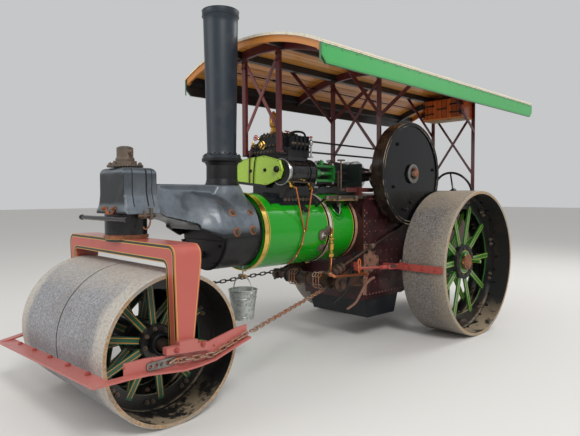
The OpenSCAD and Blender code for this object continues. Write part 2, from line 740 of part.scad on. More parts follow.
module locker() placed() color("#b5651d") {
    // Hinge pins at the doors' outer edges
    both() for (z = locker_knuckle_z) {
        rod_z(locker_pin_x, locker_pin_y, locker_pin_r, [z - 12, z + locker_knuckle_h + 12]);
        for (lug = [z - 13, z + locker_knuckle_h + 1])
            block([locker_x[1] - 30, locker_pin_x + 6], [locker_half + seat_gap, locker_pin_y + 6],
                  [lug, lug + 12]);
        block([locker_x[1] - 40, locker_x[1] - 29], [locker_half - 1, locker_pin_y + 6],
              [z - 13, z + locker_knuckle_h + 13]);
    }
    difference() {
        block(locker_x, [-locker_half, locker_half], locker_z);
        block([locker_x[0] + locker_t, locker_x[1] + 1], [-locker_half + locker_t, locker_half - locker_t],
              [locker_z[0] + locker_t, locker_z[1] - locker_t]);
    }
}

module locker_door(side) {
    y = side > 0 ? [door_gap / 2, locker_half] : [-locker_half, -door_gap / 2];
    block([locker_x[1] + seat_gap, locker_x[1] + seat_gap + locker_t], y,
          [locker_z[0] + 14, locker_z[1] - 14]);
    difference() {
        for (z = locker_knuckle_z) {
            rod_z(locker_pin_x, side * locker_pin_y, locker_knuckle_r, [z, z + locker_knuckle_h]);
            block([locker_x[1] + locker_t - 4, locker_pin_x], side > 0 ? [locker_half - 120, locker_pin_y]
                  : [-locker_pin_y, -locker_half + 120], [z, z + locker_knuckle_h]);
        }
        for (z = locker_knuckle_z)
            rod_z(locker_pin_x, side * locker_pin_y, locker_pin_r + run_gap,
                  [z - 1, z + locker_knuckle_h + 1]);
    }
}

module locker_door_left() placed() color("#b9691f") locker_door(1);
module locker_door_right() placed() color("#b9691f") locker_door(-1);

// Steering: chain drum and worm under the boiler, shaft to the hand wheel on the footplate
drum_x = 1590;
drum_z = 685;
drum_r = 62;
drum_y = [-250, 330];
ridge = 8;
worm_at = [1636, 445, 813];
worm_r = 46;
worm_turn = 62;
wheel_at = [-600, 419, 1550];
shaft_d = 24;
worm_wheel_r = 84;
worm_teeth = 26;
hand_wheel_r = 255;

module along(from, to) {
    step = to - from;
    translate(from) rotate([0, acos(step[2] / norm(step)), atan2(step[1], step[0])]) children();
}

module steering_gear() placed() color("#5a4a44") {
    // Drum with ridges between the turns of chain
    rod_y(drum_x, drum_z, drum_r, drum_y);
    for (y = [drum_y[0] : 145 : drum_y[1]]) rod_y(drum_x, drum_z, drum_r + ridge, [y - 6, y + 6]);
    rod_y(drum_x, drum_z, 26, [-horn_y - 18, worm_at[1] + 26]);
    // Arms on the front edges of the hornplates
    both() side_plate([horn_y - hornplate_t, horn_y]) polygon([
        [barrel_rear + seat_gap, drum_z - 85], [drum_x - 20, drum_z - 45], [drum_x + 45, drum_z - 36],
        [drum_x + 45, drum_z + 36], [drum_x - 20, drum_z + 45], [barrel_rear + seat_gap, drum_z + 175]]);
    // Worm wheel, and the worm at the foot of the steering shaft
    translate([drum_x, worm_at[1] + 15, drum_z]) rotate([90, 0, 0]) linear_extrude(30) polygon([
        for (i = [0 : worm_teeth - 1]) for (edge = [[-0.30, -4], [-0.16, 4], [0.16, 4], [0.30, -4]])
            (worm_wheel_r + edge[1])
                * [cos((i + edge[0]) * 360 / worm_teeth), sin((i + edge[0]) * 360 / worm_teeth)]]);
    along(worm_at, wheel_at) {
        translate([0, 0, -110]) cylinder(d = shaft_d, h = norm(wheel_at - worm_at) + 110, $fn = 48);
        for (turn = [-1.5 : 1 : 0.5]) translate([0, 0, turn * worm_turn]) rotate_extrude($fn = 64)
            polygon([[0, 0], [worm_r - 20, 6], [worm_r, 18], [worm_r, 44], [worm_r - 20, 56], [0, 62]]);
    }
}

module steering_wheel() placed() color("#2a2a2c") {
    along(wheel_at, wheel_at + (wheel_at - worm_at)) {
        translate([0, 0, seat_gap]) {
            cylinder(r = 36, h = 50, $fn = 48);
            translate([0, 0, 25]) rotate_extrude($fn = 96)
                translate([hand_wheel_r - 14, 0]) circle(r = 14, $fn = 24);
            for (a = [0 : 90 : 270]) rotate([0, 0, a]) translate([0, 0, 25]) rotate([0, 90, 0])
                cylinder(r = 10, h = hand_wheel_r - 14, $fn = 24);
        }
    }
}

// Scraper frame: side bars from the chains to the scraper plate ahead of the front roll
bar_rear_x = wheelbase - 495;
bar_t = 13;
bar_flange = 62;
bar_flange_t = 12;
// Side bars: distance ahead of the front axle, lower edge, upper edge
bar_line = [[-495, 520, 610], [-400, 495, 602], [-190, 432, 558], [-72, 420, 531], [40, 417, 518],
            [298, 450, 543], [430, 455, 541], [scraper_reach - wheelbase, 455, 470]];
droop_start = wheelbase + 20;

// How far the frame hangs down at x, on the right-hand side
function sunk(x, side) = side > 0 ? 0
    : frame_droop * pow(max(0, x - droop_start) / (scraper_reach - droop_start), 1.4);

// Steering chains of open links, each turned a quarter from the one before it
link_pitch = 52;
link_w = 40;
link_wire = 12;
link_overlap = 0.5;
link_corners = [[-1, -1], [1, -1], [1, 1], [-1, 1]];
chain_y = leg_out_y + bar_t + seat_gap + link_w / 2;
chain_rest = drum_r + link_w / 2 + 0.9;
adjuster_x = [wheelbase + 89, wheelbase + 289];
adjuster_z = [462, 514];
adjuster_holes = 5;
chain_rear_ends = [[bar_rear_x - 20, chain_y, 560], [drum_x, 250, drum_z - chain_rest],
                   [bar_rear_x - 20, -chain_y, 560], [drum_x, -180, drum_z + chain_rest]];
// Along the side bar's flange: distance ahead of the front axle, height
chain_on_bar = [[-481, 556], [-350, 514], [-190, 466], [75, 486]];

module chain_link(length) {
    reach = length / 2 + link_wire;
    translate([0, 0, -link_wire / 2]) linear_extrude(link_wire) difference() {
        polygon([for (c = link_corners) for (p = c[0] * c[1] > 0
            ? [[reach, link_w / 4], [reach - 11, link_w / 2]] : [[reach - 11, link_w / 2], [reach, link_w / 4]])
            [c[0] * p[0], c[1] * p[1]]]);
        polygon([for (c = link_corners) [c[0] * length / 2, c[1] * (link_w / 2 - link_wire)]]);
    }
}

function sum_from(list, k) = k < len(list) ? list[k] + sum_from(list, k + 1) : 0;

module chain_run(points) {
    counts = [for (k = [0 : len(points) - 2]) round(norm(points[k + 1] - points[k]) / link_pitch)];
    for (k = [0 : len(points) - 2]) {
        step = points[k + 1] - points[k];
        pitch = norm(step) / counts[k];
        translate(points[k]) rotate([0, -asin(step[2] / norm(step)), atan2(step[1], step[0])])
            for (i = [0 : counts[k] - 1]) translate([(i + 0.5) * pitch, 0, 0])
                rotate([(sum_from(counts, k) - i) % 2 == 1 ? 90 : 0, 0, 0]) chain_link(pitch - link_overlap);
    }
}

module chain_left_rear() placed() color("#8a6240") chain_run([chain_rear_ends[0], chain_rear_ends[1]]);
module chain_right_rear() placed() color("#2b2725") chain_run([chain_rear_ends[2], chain_rear_ends[3]]);

module chain_front(side) {
    mirror([0, side < 0 ? 1 : 0, 0]) {
        chain_run([for (p = chain_on_bar) [wheelbase + p[0], chain_y, p[1] - sunk(wheelbase + p[0], side)]]);
        // Adjusting plate and the hook that holds the chain in one of its holes
        side_plate([chain_y - link_w / 2, chain_y - link_w / 2 + 10]) difference() {
            polygon([[adjuster_x[0], adjuster_z[0] - sunk(adjuster_x[0], side)],
                     [adjuster_x[1], adjuster_z[0] - sunk(adjuster_x[1], side)],
                     [adjuster_x[1], adjuster_z[1] - sunk(adjuster_x[1], side)],
                     [adjuster_x[0], adjuster_z[1] - sunk(adjuster_x[0], side)]]);
            for (hole = [0 : adjuster_holes - 1]) {
                x = adjuster_x[0] + 22 + hole * (adjuster_x[1] - adjuster_x[0] - 44) / (adjuster_holes - 1);
                translate([x, (adjuster_z[0] + adjuster_z[1]) / 2 - sunk(x, side)]) circle(r = 10, $fn = 32);
            }
        }
        hook_z = adjuster_z[0] + 14 - sunk(adjuster_x[0], side);
        block([wheelbase + 66, adjuster_x[0] + 12], [chain_y - link_w / 2 + 2, chain_y + 7],
              [hook_z, hook_z + 20]);
    }
}
module chain_left_front() placed() color("#8a6240") chain_front(1);
module chain_right_front() placed() color("#8a6240") chain_front(-1);

// Pipes on the boiler
drain_r = 8;
feed_r = 12;
pipe_lay_r = cladding_r + band_t + drain_r + 7;
function on_boiler(x, angle) = [x, pipe_lay_r * cos(angle), boiler_z + pipe_lay_r * sin(angle)];
drain_join = on_boiler(1992, 0);
// Under the near cylinder, at a distance from its axis
function under_cylinder(x, r) = [x, cylinders[0][0] + r * cos(55), cylinders[0][1] - r * sin(55)];
drain_route = [
    concat([under_cylinder(2100, cylinders[0][2] + seat_gap), under_cylinder(2100, 149), [2086, 352, 1580],
            drain_join], [for (a = [20 : 20 : 60]) on_boiler(1992 + a / 2, -a)]),
    [under_cylinder(1858, cylinders[0][2] + barrel_ring + seat_gap), under_cylinder(1858, 153),
     [1880, 352, 1560], drain_join + [0, 2.3 * drain_r, 0]]];
feed_end = [1248, horn_y + 0.8, 734];
feed_route = [[1645, 384, 1200], [1650, 384, 920], [1800, 500, 800], [1750, 512, 768], [1252, 512, 737],
              feed_end];

module drain_pipes() placed() color("#b8663a") for (route = drain_route) tube_run(route, drain_r);
module feed_pipe() placed() color("#b98a3f") tube_run(feed_route, feed_r);

rear_hub_end = roll_out_y - 185;
axle_collar_r = 84;

module rear_axle() placed() color("#7a4b30") {
    rod_y(0, axle_z, rear_axle_d / 2, [-rear_hub_end - 45, rear_hub_end + 45]);
    both() rod_y(0, axle_z, axle_collar_r, [rear_hub_end + move_gap, rear_hub_end + 40]);
}

blade_x = [rear_r + move_gap, rear_r + move_gap + 14];

lug_x = barrel_rear + 160;

module rear_scrapers() placed() color("#9c4038") {
    both() {
        // Blade, its holder on the hornplate, and the rod to the lug on the drum's arm
        block(blade_x, [roll_in_y - 15, roll_out_y - 17], [axle_z - 38, axle_z + 32]);
        block([blade_x[1], blade_x[1] + 52], [horn_y + seat_gap, roll_in_y + 85], [axle_z - 26, axle_z + 22]);
        block([blade_x[1] + 6, blade_x[1] + 44], [roll_in_y + 10, roll_in_y + 62],
              [axle_z + 21, axle_z + 48]);
        along([blade_x[1] + 40, roll_in_y - 40, axle_z - 4], [lug_x, horn_y + 40, axle_z + 18])
            cylinder(r = 12, h = lug_x - blade_x[1] - 40, $fn = 32);
        block([lug_x - 20, lug_x + 20], [horn_y + seat_gap, horn_y + 60], [axle_z, axle_z + 86]);
    }
}

module drawbar() placed() color("#2a1416") {
    difference() {
        block([-tender_rear - 230, -tender_rear - seat_gap], [-70, 70], [520, 580]);
        rod_z(-tender_rear - 170, 0, 22, [500, 600]);
    }
}

bucket_at = [2476, 74, 430];
bucket_h = 260;
bucket_top_r = 126;
bucket_foot_r = 92;
bucket_t = 8;
bail_r = 5;
hook_r = 6;

module bucket() placed() color("#9aa0a3") {
    translate(bucket_at) {
        rotate_extrude($fn = 64) polygon([
            [0, 0], [bucket_foot_r, 0], [bucket_top_r, bucket_h], [bucket_top_r - bucket_t, bucket_h],
            [bucket_foot_r - bucket_t + 2, bucket_t], [0, bucket_t]]);
        translate([0, 0, bucket_h - 10]) rotate([90, 0, 90]) rotate_extrude(angle = 180, $fn = 64)
            translate([bucket_top_r + 2, 0]) circle(r = bail_r, $fn = 24);
    }
    rod_z(bucket_at[0], bucket_at[1], hook_r, [bucket_at[2] + bucket_h - 10 + bucket_top_r - 6,
          boiler_z - sqrt(smokebox_r * smokebox_r - bucket_at[1] * bucket_at[1]) - seat_gap - 1]);
}

// Fork that turns on the steering pivot
boss_r = 150;
boss_top = head_bottom - move_gap / 3;
foot_z = front_z + 62;

module fork() placed() color("#a8544c") {
    difference() {
        union() {
            intersection() {
                front_plate([fork_mid_x - fork_length / 2, fork_mid_x + fork_length / 2]) difference() {
                    rounded([-leg_out_y, leg_out_y], [front_z - 70, fork_top], 70);
                    rounded([-leg_in_y, leg_in_y], [front_z - 400, fork_top - fork_depth], 34);
                }
                side_plate([-leg_out_y, leg_out_y]) polygon([
                    [fork_mid_x - fork_length / 2, fork_top], [fork_mid_x + fork_length / 2, fork_top],
                    [fork_mid_x + fork_length / 2, fork_top - fork_depth], [wheelbase + 64, foot_z],
                    [wheelbase + 64, front_z - 62], [wheelbase - 64, front_z - 62], [wheelbase - 64, foot_z],
                    [fork_mid_x - fork_length / 2, fork_top - fork_depth]]);
            }
            rod_z(pivot_x, 0, boss_r, [fork_top - 20, boss_top]);
        }
        rod_z(pivot_x, 0, pivot_d / 2 + 0.1, [fork_top - fork_depth - 1, boss_top + 1]);
        rod_y(wheelbase, front_z, front_axle_d / 2 + 0.1, [-leg_out_y - 1, leg_out_y + 1]);
    }
}

module king_pin() placed() color("#4b4a47") {
    rod_z(pivot_x, 0, pivot_d / 2, [fork_top - fork_depth + 2, head_top + 150]);
    rod_z(pivot_x, 0, 130, [head_top + 6, head_top + 22]);
    rod_z(pivot_x, 0, 84, [head_top + 22, head_top + 52]);
    rod_y(pivot_x, head_top + 120, 11, [-105, 105]);
}

// Point of the bar's line at height z, let down by the droop
function bar_point(i, z, side) = [wheelbase + bar_line[i][0], z - sunk(wheelbase + bar_line[i][0], side)];

module side_bar(side) {
    last = len(bar_line) - 1;
    // Web, then flange
    side_plate([leg_out_y + seat_gap, leg_out_y + bar_t]) polygon(concat(
        [for (i = [0 : last - 1]) bar_point(i, bar_line[i][1], side)],
        [for (i = [last - 1 : -1 : 0]) bar_point(i, bar_line[i][2], side)]));
    side_plate([leg_out_y + seat_gap, leg_out_y + bar_flange]) polygon(concat(
        [for (i = [0 : last]) bar_point(i, bar_line[i][1], side)],
        [for (i = [last : -1 : 0]) bar_point(i, bar_line[i][1] + bar_flange_t, side)]));
    // Stepped bracket at the foot of the fork's leg
    side_plate([leg_out_y + seat_gap, leg_out_y + 46]) polygon([
        [wheelbase - 150, 512], [wheelbase + 168, 540], [wheelbase + 168, 584], [wheelbase + 75, 580],
        [wheelbase + 75, 604], [wheelbase - 60, 598], [wheelbase - 60, 572], [wheelbase - 150, 564]]);
}

module scraper_frame() placed() color("#a4504a") {
    for (side = [-1, 1]) mirror([0, side < 0 ? 1 : 0, 0]) side_bar(side);
    // Scraper plate ahead of the roll, level on the left and hanging on the right
    edge = leg_out_y + bar_flange;
    low = bar_line[len(bar_line) - 1][1];
    front_plate([wheelbase + front_r + move_gap + 4, scraper_reach]) polygon([
        [edge, low], [edge, low + bar_flange_t], [-edge, low + bar_flange_t - frame_droop],
        [-edge, low - frame_droop]]);
}

module front_axle() placed() color("#55504b") {
    rod_y(wheelbase, front_z, front_axle_d / 2, [-leg_out_y + 2, leg_out_y - 2]);
}

// Rolls. Hub steps: inner end, outer end, radius. Spoke planes: distance from the middle, first spoke's angle
front_hub = [[front_in_y, front_in_y + 456, 96], [front_in_y + 176, front_in_y + 216, 118],
             [front_in_y + 394, front_in_y + 456, 125]];
front_planes = [[front_in_y + 196, 30.5], [front_in_y + 416, 12.5]];
rear_hub = [[roll_in_y + 2, rear_hub_end, 128], [roll_in_y + 62, roll_in_y + 118, 160],
            [rear_hub_end - 55, rear_hub_end, 188]];
rear_planes = [[roll_in_y + 90, 16], [rear_hub_end - 38, 34]];
ring_t = 14;
front_ring_w = 115;
rear_ring_w = 163;
front_spoke_w = 50;
rear_spoke_w = 60;
spoke_t = 18;
ring_lap = 45;
ring_foot = 34;
pin_r = 20;
// Driving pins in the rear hubs: angle, outer end
drive_pins = [[180, rear_hub_end + 118], [45, rear_hub_end + 52]];
drive_pin_at = 130;

module rim(r, t, y) {
    translate([0, y[0], 0]) rotate([-90, 0, 0]) rotate_extrude($fn = 160) {
        w = y[1] - y[0];
        polygon([[r - t, 0], [r - 6, 0], [r, 6], [r, w - 6], [r - 6, w], [r - t, w]]);
    }
}

// Stepped hub, spokes in planes and the T-section rings that hold them to the rim
module centre(r, bore_r, hub, planes, ring_w, count, spoke_w) {
    difference() {
        for (step = hub) rod_y(0, 0, step[2], [step[0], step[1]]);
        rod_y(0, 0, bore_r, [hub[0][0] - 1, hub[0][1] + 1]);
    }
    for (k = [0 : len(planes) - 1]) {
        at = planes[k][0];
        difference() {
            rod_y(0, 0, r - seat_gap, [at - ring_foot, at + ring_foot]);
            rod_y(0, 0, r - ring_t, [at - ring_foot - 1, at - ring_t / 2]);
            rod_y(0, 0, r - ring_t, [at + ring_t / 2, at + ring_foot + 1]);
            rod_y(0, 0, r - ring_w, [at - ring_foot - 1, at + ring_foot + 1]);
        }
        hub_r = hub[k + 1][2];
        for (i = [0 : count - 1]) rotate([0, -planes[k][1] - i * 360 / count, 0])
            block([hub_r - 9, r - ring_w + ring_lap], [at - spoke_t / 2, at + spoke_t / 2],
                  [-spoke_w / 2, spoke_w / 2]);
    }
}

module front_rim(side) {
    y = side > 0 ? [front_in_y, front_out_y] : [-front_out_y, -front_in_y];
    translate([wheelbase, 0, front_z]) rim(front_r, front_rim_t, y);
}

module front_centre(side) {
    mirror([0, side < 0 ? 1 : 0, 0]) translate([wheelbase, 0, front_z])
        centre(front_r - front_rim_t, front_axle_d / 2 + run_gap, front_hub, front_planes, front_ring_w,
               front_spokes, front_spoke_w);
}

module front_rim_left() placed() color("#8d8880") front_rim(1);
module front_rim_right() placed() color("#8d8880") front_rim(-1);
module front_centre_left() placed() color("#1f4a34") front_centre(1);
module front_centre_right() placed() color("#1f4a34") front_centre(-1);

module rear_rim(side) {
    y = side > 0 ? [roll_in_y, roll_out_y] : [-roll_out_y, -roll_in_y];
    translate([0, 0, axle_z]) rim(rear_r, rear_rim_t, y);
}

module rear_centre(side) {
    mirror([0, side < 0 ? 1 : 0, 0]) translate([0, 0, axle_z]) {
        centre(rear_r - rear_rim_t, rear_axle_d / 2 + run_gap, rear_hub, rear_planes, rear_ring_w,
               rear_spokes, rear_spoke_w);
        for (pin = drive_pins) rod_y(drive_pin_at * cos(pin[0]), drive_pin_at * sin(pin[0]), pin_r,
                                     [rear_hub_end - 20, pin[1]]);
    }
}

module rear_rim_left() placed() color("#8d8880") rear_rim(1);
module rear_rim_right() placed() color("#8d8880") rear_rim(-1);
module rear_centre_left() placed() color("#2c6e34") rear_centre(1);
module rear_centre_right() placed() color("#2c6e34") rear_centre(-1);

smokebox();
smokebox_door();
headstock();
chimney_base();
chimney();
boiler_barrel();
boiler_bands();
cylinder_block();
cylinder_cover();
valve_chest();
safety_valve();
firebox();
hornplates();
ashpan();
motion_work();
gear_guard();
tender();
footplate();
canopy_roof();
canopy_frame();
canopy_posts();
valance_left();
valance_right();
locker();
locker_door_left();
locker_door_right();
steering_gear();
steering_wheel();
chain_left_rear();
chain_right_rear();
drain_pipes();
feed_pipe();
rear_axle();
rear_scrapers();
drawbar();
bucket();
fork();
scraper_frame();
front_axle();
king_pin();
chain_left_front();
chain_right_front();
front_rim_left();
front_rim_right();
front_centre_left();
front_centre_right();
rear_rim_left();
rear_rim_right();
rear_centre_left();
rear_centre_right();
crankshaft();
flywheel();
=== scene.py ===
import math

import bmesh
import bpy
from mathutils import Matrix, Quaternion, Vector


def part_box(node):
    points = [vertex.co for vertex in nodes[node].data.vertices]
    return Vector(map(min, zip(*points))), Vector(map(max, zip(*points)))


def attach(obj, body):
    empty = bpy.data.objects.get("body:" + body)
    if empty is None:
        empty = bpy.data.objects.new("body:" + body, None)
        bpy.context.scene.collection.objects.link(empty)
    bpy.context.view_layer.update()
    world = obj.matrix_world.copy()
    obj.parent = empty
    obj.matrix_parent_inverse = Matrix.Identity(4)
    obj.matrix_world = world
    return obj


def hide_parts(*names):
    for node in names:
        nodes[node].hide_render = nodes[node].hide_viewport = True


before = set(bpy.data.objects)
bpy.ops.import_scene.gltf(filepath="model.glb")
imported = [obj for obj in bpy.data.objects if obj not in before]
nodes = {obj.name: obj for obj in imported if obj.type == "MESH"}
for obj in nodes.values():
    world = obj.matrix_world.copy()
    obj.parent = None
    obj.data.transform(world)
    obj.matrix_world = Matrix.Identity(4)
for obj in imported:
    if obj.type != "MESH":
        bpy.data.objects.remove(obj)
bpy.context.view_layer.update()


def middle(node):
    low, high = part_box(node)
    return (Vector(low) + Vector(high)) / 2


# Places of the machine are counted from its rear axle, as on the drawing board
rearAxle = middle("rear_rim_left")
frontAxle = middle("front_rim_left")
crank = middle("flywheel")
rearX = rearAxle.x
# Shapes are drawn in millimetres from there
drawing = Matrix.Translation((rearX, 0, 0)) @ Matrix.Scale(0.001, 4)

print("frame loaded:", len(nodes), "pieces")


# Shader maths

class Field:
    # A value that changes over a surface, used with Python's own operators
    def __init__(self, finish, socket):
        self.finish = finish
        self.socket = socket

    def maths(self, operation, *others):
        values = dict(enumerate((self,) + others))
        return self.finish.node("ShaderNodeMath", {"operation": operation}, values)

    def __add__(self, other):
        return self.maths("ADD", other)

    __radd__ = __add__

    def __mul__(self, other):
        return self.maths("MULTIPLY", other)

    __rmul__ = __mul__

    def __sub__(self, other):
        return self.maths("SUBTRACT", other)

    def __rsub__(self, other):
        return self.finish.node("ShaderNodeMath", {"operation": "SUBTRACT"}, {0: other, 1: self})

    def __truediv__(self, other):
        return self.maths("DIVIDE", other)

    def __gt__(self, other):
        return self.maths("GREATER_THAN", other)

    def __lt__(self, other):
        return self.maths("LESS_THAN", other)

    def __pow__(self, other):
        return self.maths("POWER", other)

    def __abs__(self):
        return self.maths("ABSOLUTE")

    def between(self, low, high):
        return (self > low) * (self < high)

    def most(self, other):
        return self.maths("MAXIMUM", other)

    def least(self, other):
        return self.maths("MINIMUM", other)


class Finish:
    def __init__(self, name, **plain):
        self.material = bpy.data.materials.new(name)
        self.material.use_nodes = True
        self.tree = self.material.node_tree
        self.shader = self.tree.nodes["Principled BSDF"]
        for socket, value in plain.items():
            self.shader.inputs[socket.replace("_", " ")].default_value = value
        self.place = self.node("ShaderNodeTexCoord", {}, {}, "Object")

    def node(self, kind, settings, sockets, output=0):
        made = self.tree.nodes.new(kind)
        for key, value in settings.items():
            setattr(made, key, value)
        for key, value in sockets.items():
            self.feed(made.inputs[key], value)
        return Field(self, made.outputs[output])

    def feed(self, socket, value):
        if isinstance(value, Field):
            self.tree.links.new(value.socket, socket)
        elif socket.type == "RGBA":
            socket.default_value = tint(value)
        else:
            socket.default_value = value

    def axis(self, letter):
        # Along the machine it is counted from the rear axle
        part = self.node("ShaderNodeSeparateXYZ", {}, {0: self.place}, "XYZ".index(letter))
        return part - rearX if letter == "X" else part

    def facing(self, letter):
        normal = self.node("ShaderNodeNewGeometry", {}, {}, "Normal")
        return self.node("ShaderNodeSeparateXYZ", {}, {0: normal}, "XYZ".index(letter))

    def stretched(self, scale, centre=(0, 0, 0)):
        shift = self.node("ShaderNodeVectorMath", {"operation": "SUBTRACT"}, {0: self.place, 1: centre})
        return self.node("ShaderNodeMapping", {}, {"Vector": shift, "Scale": scale})

    def noise(self, scale, detail, rough, place=None):
        sockets = {"Vector": place or self.place, "Scale": scale, "Detail": detail, "Roughness": rough}
        return self.node("ShaderNodeTexNoise", {}, sockets)

    def cells(self, scale):
        return self.node("ShaderNodeTexVoronoi", {}, {"Vector": self.place, "Scale": scale})

    def chance(self, value):
        # One steady random number for each whole value
        return self.node("ShaderNodeTexWhiteNoise", {"noise_dimensions": "1D"}, {"W": value}, "Value")

    def step(self, value, low, high, first=0.0, last=1.0):
        sockets = {0: value, 1: low, 2: high, 3: first, 4: last}
        return self.node("ShaderNodeMapRange", {"clamp": True}, sockets)

    def mix(self, factor, first, second):
        return self.node("ShaderNodeMix", {"data_type": "RGBA"}, {0: factor, 6: first, 7: second}, 2)

    def radius(self, centre):
        x = self.axis("X") - (centre.x - rearX)
        z = self.axis("Z") - centre.z
        return (x * x + z * z) ** 0.5

    def paint(self, colour, rough=None, metal=None, coat=None):
        self.feed(self.shader.inputs["Base Color"], colour)
        for socket, value in (("Roughness", rough), ("Metallic", metal), ("Coat Weight", coat)):
            if value is not None:
                self.feed(self.shader.inputs[socket], value)
        return self

    def bump(self, height, depth, strength):
        normal = self.node("ShaderNodeBump", {}, {"Height": height, "Distance": depth, "Strength": strength},
                           "Normal")
        self.feed(self.shader.inputs["Normal"], normal)
        return self.material


def tint(colour):
    # A hex colour as seen on screen, or linear numbers, as four channels
    if isinstance(colour, str):
        parts = [int(colour[i:i + 2], 16) / 255 for i in (1, 3, 5)]
        colour = [p / 12.92 if p <= 0.04045 else ((p + 0.055) / 1.055) ** 2.4 for p in parts]
    return tuple(colour[:3]) + (1.0,)


# Finishes; lengths in them are in metres, as in the scene

def paintWork(name, colour, dirt="#241f1c", gloss=0.28, coat=0.3, dust=0.5, grime=0.0, grain=1.0, shine=0.5,
              pattern=None):
    # Brush-painted metal: slight colour drift, dust on upward faces, oily grime, fine orange peel
    paint = Finish(name, Coat_Roughness=0.1, Specular_IOR_Level=shine)
    drift = paint.noise(2.2 * grain, 4, 0.6)
    patch = paint.step(paint.noise(5.5 * grain, 6, 0.65), 0.5, 0.75)
    fine = paint.noise(90 * grain, 3, 0.6)
    shade = paint.mix(paint.step(drift, 0.35, 0.7, 0.0, 0.3), colour, paint.mix(0.5, colour, dirt))
    if pattern:
        shade = pattern(paint, shade)
    if grime:
        soot = paint.step(paint.noise(7 * grain, 8, 0.72), 0.42, 0.62) * grime
        shade = paint.mix(soot, shade, dirt)
    upward = paint.step(paint.facing("Z"), 0.3, 0.95)
    shade = paint.mix(patch * (0.14 * dust) + patch * upward * (0.3 * dust), shade, "#8f8473")
    rough = paint.step(fine * 0.45 + patch * 0.55, 0.2, 0.9, gloss, gloss + 0.25)
    paint.paint(shade, rough, coat=coat)
    return paint.bump(fine * 0.3 + drift * 0.7, 0.0006, 0.3)


def rustyIron(name, colour="#5a4638", rust="#8a4f2c", deep="#2c211b", rough=0.6, metal=0.5):
    iron = Finish(name)
    patch = iron.step(iron.noise(11, 7, 0.68), 0.4, 0.64)
    speck = iron.noise(130, 4, 0.7)
    shade = iron.mix(patch, colour, rust)
    shade = iron.mix(iron.step(speck, 0.5, 0.7, 0.0, 0.55), shade, deep)
    iron.paint(shade, iron.step(speck, 0.3, 0.7, rough - 0.14, rough + 0.2),
               iron.step(patch, 0, 1, metal, 0.05))
    return iron.bump(speck, 0.0012, 0.6)


def polished(name, colour, stain, rough=0.16, spread=0.22, scale=14):
    metal = Finish(name)
    drift = metal.noise(scale, 5, 0.6)
    fine = metal.noise(160, 3, 0.6)
    shade = metal.mix(metal.step(drift, 0.45, 0.75, 0, 0.75), colour, stain)
    metal.paint(shade, metal.step(drift * 0.6 + fine * 0.4, 0.3, 0.75, rough, rough + spread), 1.0)
    return metal.bump(fine, 0.0003, 0.3)


def boards(wood, across, pitch, light, dark, grainWay, gapShare=0.05):
    # Boards side by side: each has its own tone, and the grain runs along it
    count = across / pitch
    number = count.maths("FLOOR")
    within = abs(count - number - 0.5)
    grain = wood.noise(1.0, 6, 0.62, wood.stretched(grainWay))
    tone = wood.chance(number)
    shade = wood.mix(tone, light, dark)
    shade = wood.mix(wood.step(grain, 0.35, 0.7, 0, 0.45), shade, wood.mix(0.5, dark, "#3a1c0c"))
    return wood.mix(wood.step(within, 0.5 - gapShare, 0.5 - gapShare * 0.4), shade, "#2a160c"), within, grain


bandEdges = (2.404, 1.630, 1.582, 1.240)


def boilerLines(paint, shade):
    x = paint.axis("X")
    for edge in bandEdges:
        away = abs(x - edge)
        shade = paint.mix(away < 0.013, shade, "#10182e")
        shade = paint.mix(away.between(0.013, 0.0175), shade, "#e0b02e")
    return shade


forkFacts = dict(out=0.806, inside=0.706, top=1.205, innerTop=1.087, outCorner=0.07, inCorner=0.034,
                 middle=3.526, half=0.102, axle=3.550, footHalf=0.064, foot=0.572)


def boxDistance(across, up, half, top, corner):
    # Distance outside a box with rounded upper corners, less than 0 within it
    q = across - (half - corner)
    p = up - (top - corner)
    outside = (q.most(0.0) ** 2 + p.most(0.0) ** 2) ** 0.5
    return outside + q.most(p).least(0.0) - corner


def forkLines(paint, shade):
    f = forkFacts
    x, y, z = paint.axis("X"), abs(paint.axis("Y")), paint.axis("Z")
    frontal = abs(paint.facing("X")) > 0.6
    fromOut = boxDistance(y, z, f["out"], f["top"], f["outCorner"]) * -1
    fromIn = boxDistance(y, z, f["inside"], f["innerTop"], f["inCorner"])
    taper = paint.step(z, f["foot"], f["innerTop"])
    rearEdge = taper * (f["middle"] - f["half"] - f["axle"] + f["footHalf"]) + (f["axle"] - f["footHalf"])
    frontEdge = taper * (f["middle"] + f["half"] - f["axle"] - f["footHalf"]) + (f["axle"] + f["footHalf"])
    fromSide = (x - rearEdge).least(frontEdge - x)
    edge = frontal * fromOut.least(fromIn) + (1 - frontal) * (fromSide + 0.004)
    shade = paint.mix(frontal * edge.between(0.004, 0.022), shade, "#12251c")
    lines = edge.between(0.001, 0.005) * frontal + edge.between(0.021, 0.026) * frontal
    lines = lines + edge.between(0.009, 0.014) * (1 - frontal)
    bare = paint.step(paint.noise(26, 5, 0.7), 0.62, 0.68)
    return paint.mix(lines * (1 - bare * 0.6) * (z > 0.56), shade, "#c99a3c")


spokeFacts = {
    "front": dict(centre=frontAxle, planes=(0.31, 30.5, 12.5), count=10, hub=0.127, ring=0.366, half=0.025,
                  green="#24593f", line="#d98b35", hubTone="#1d1a18", boss=0.0, lineAt=0.0155),
    "rear": dict(centre=rearAxle, planes=(0.776, 16, 34), count=10, hub=0.19, ring=0.584, half=0.030,
                 green="#2f6b2b", line="#c9bf45", hubTone="#16181a", boss=0.165, lineAt=0.0195),
}


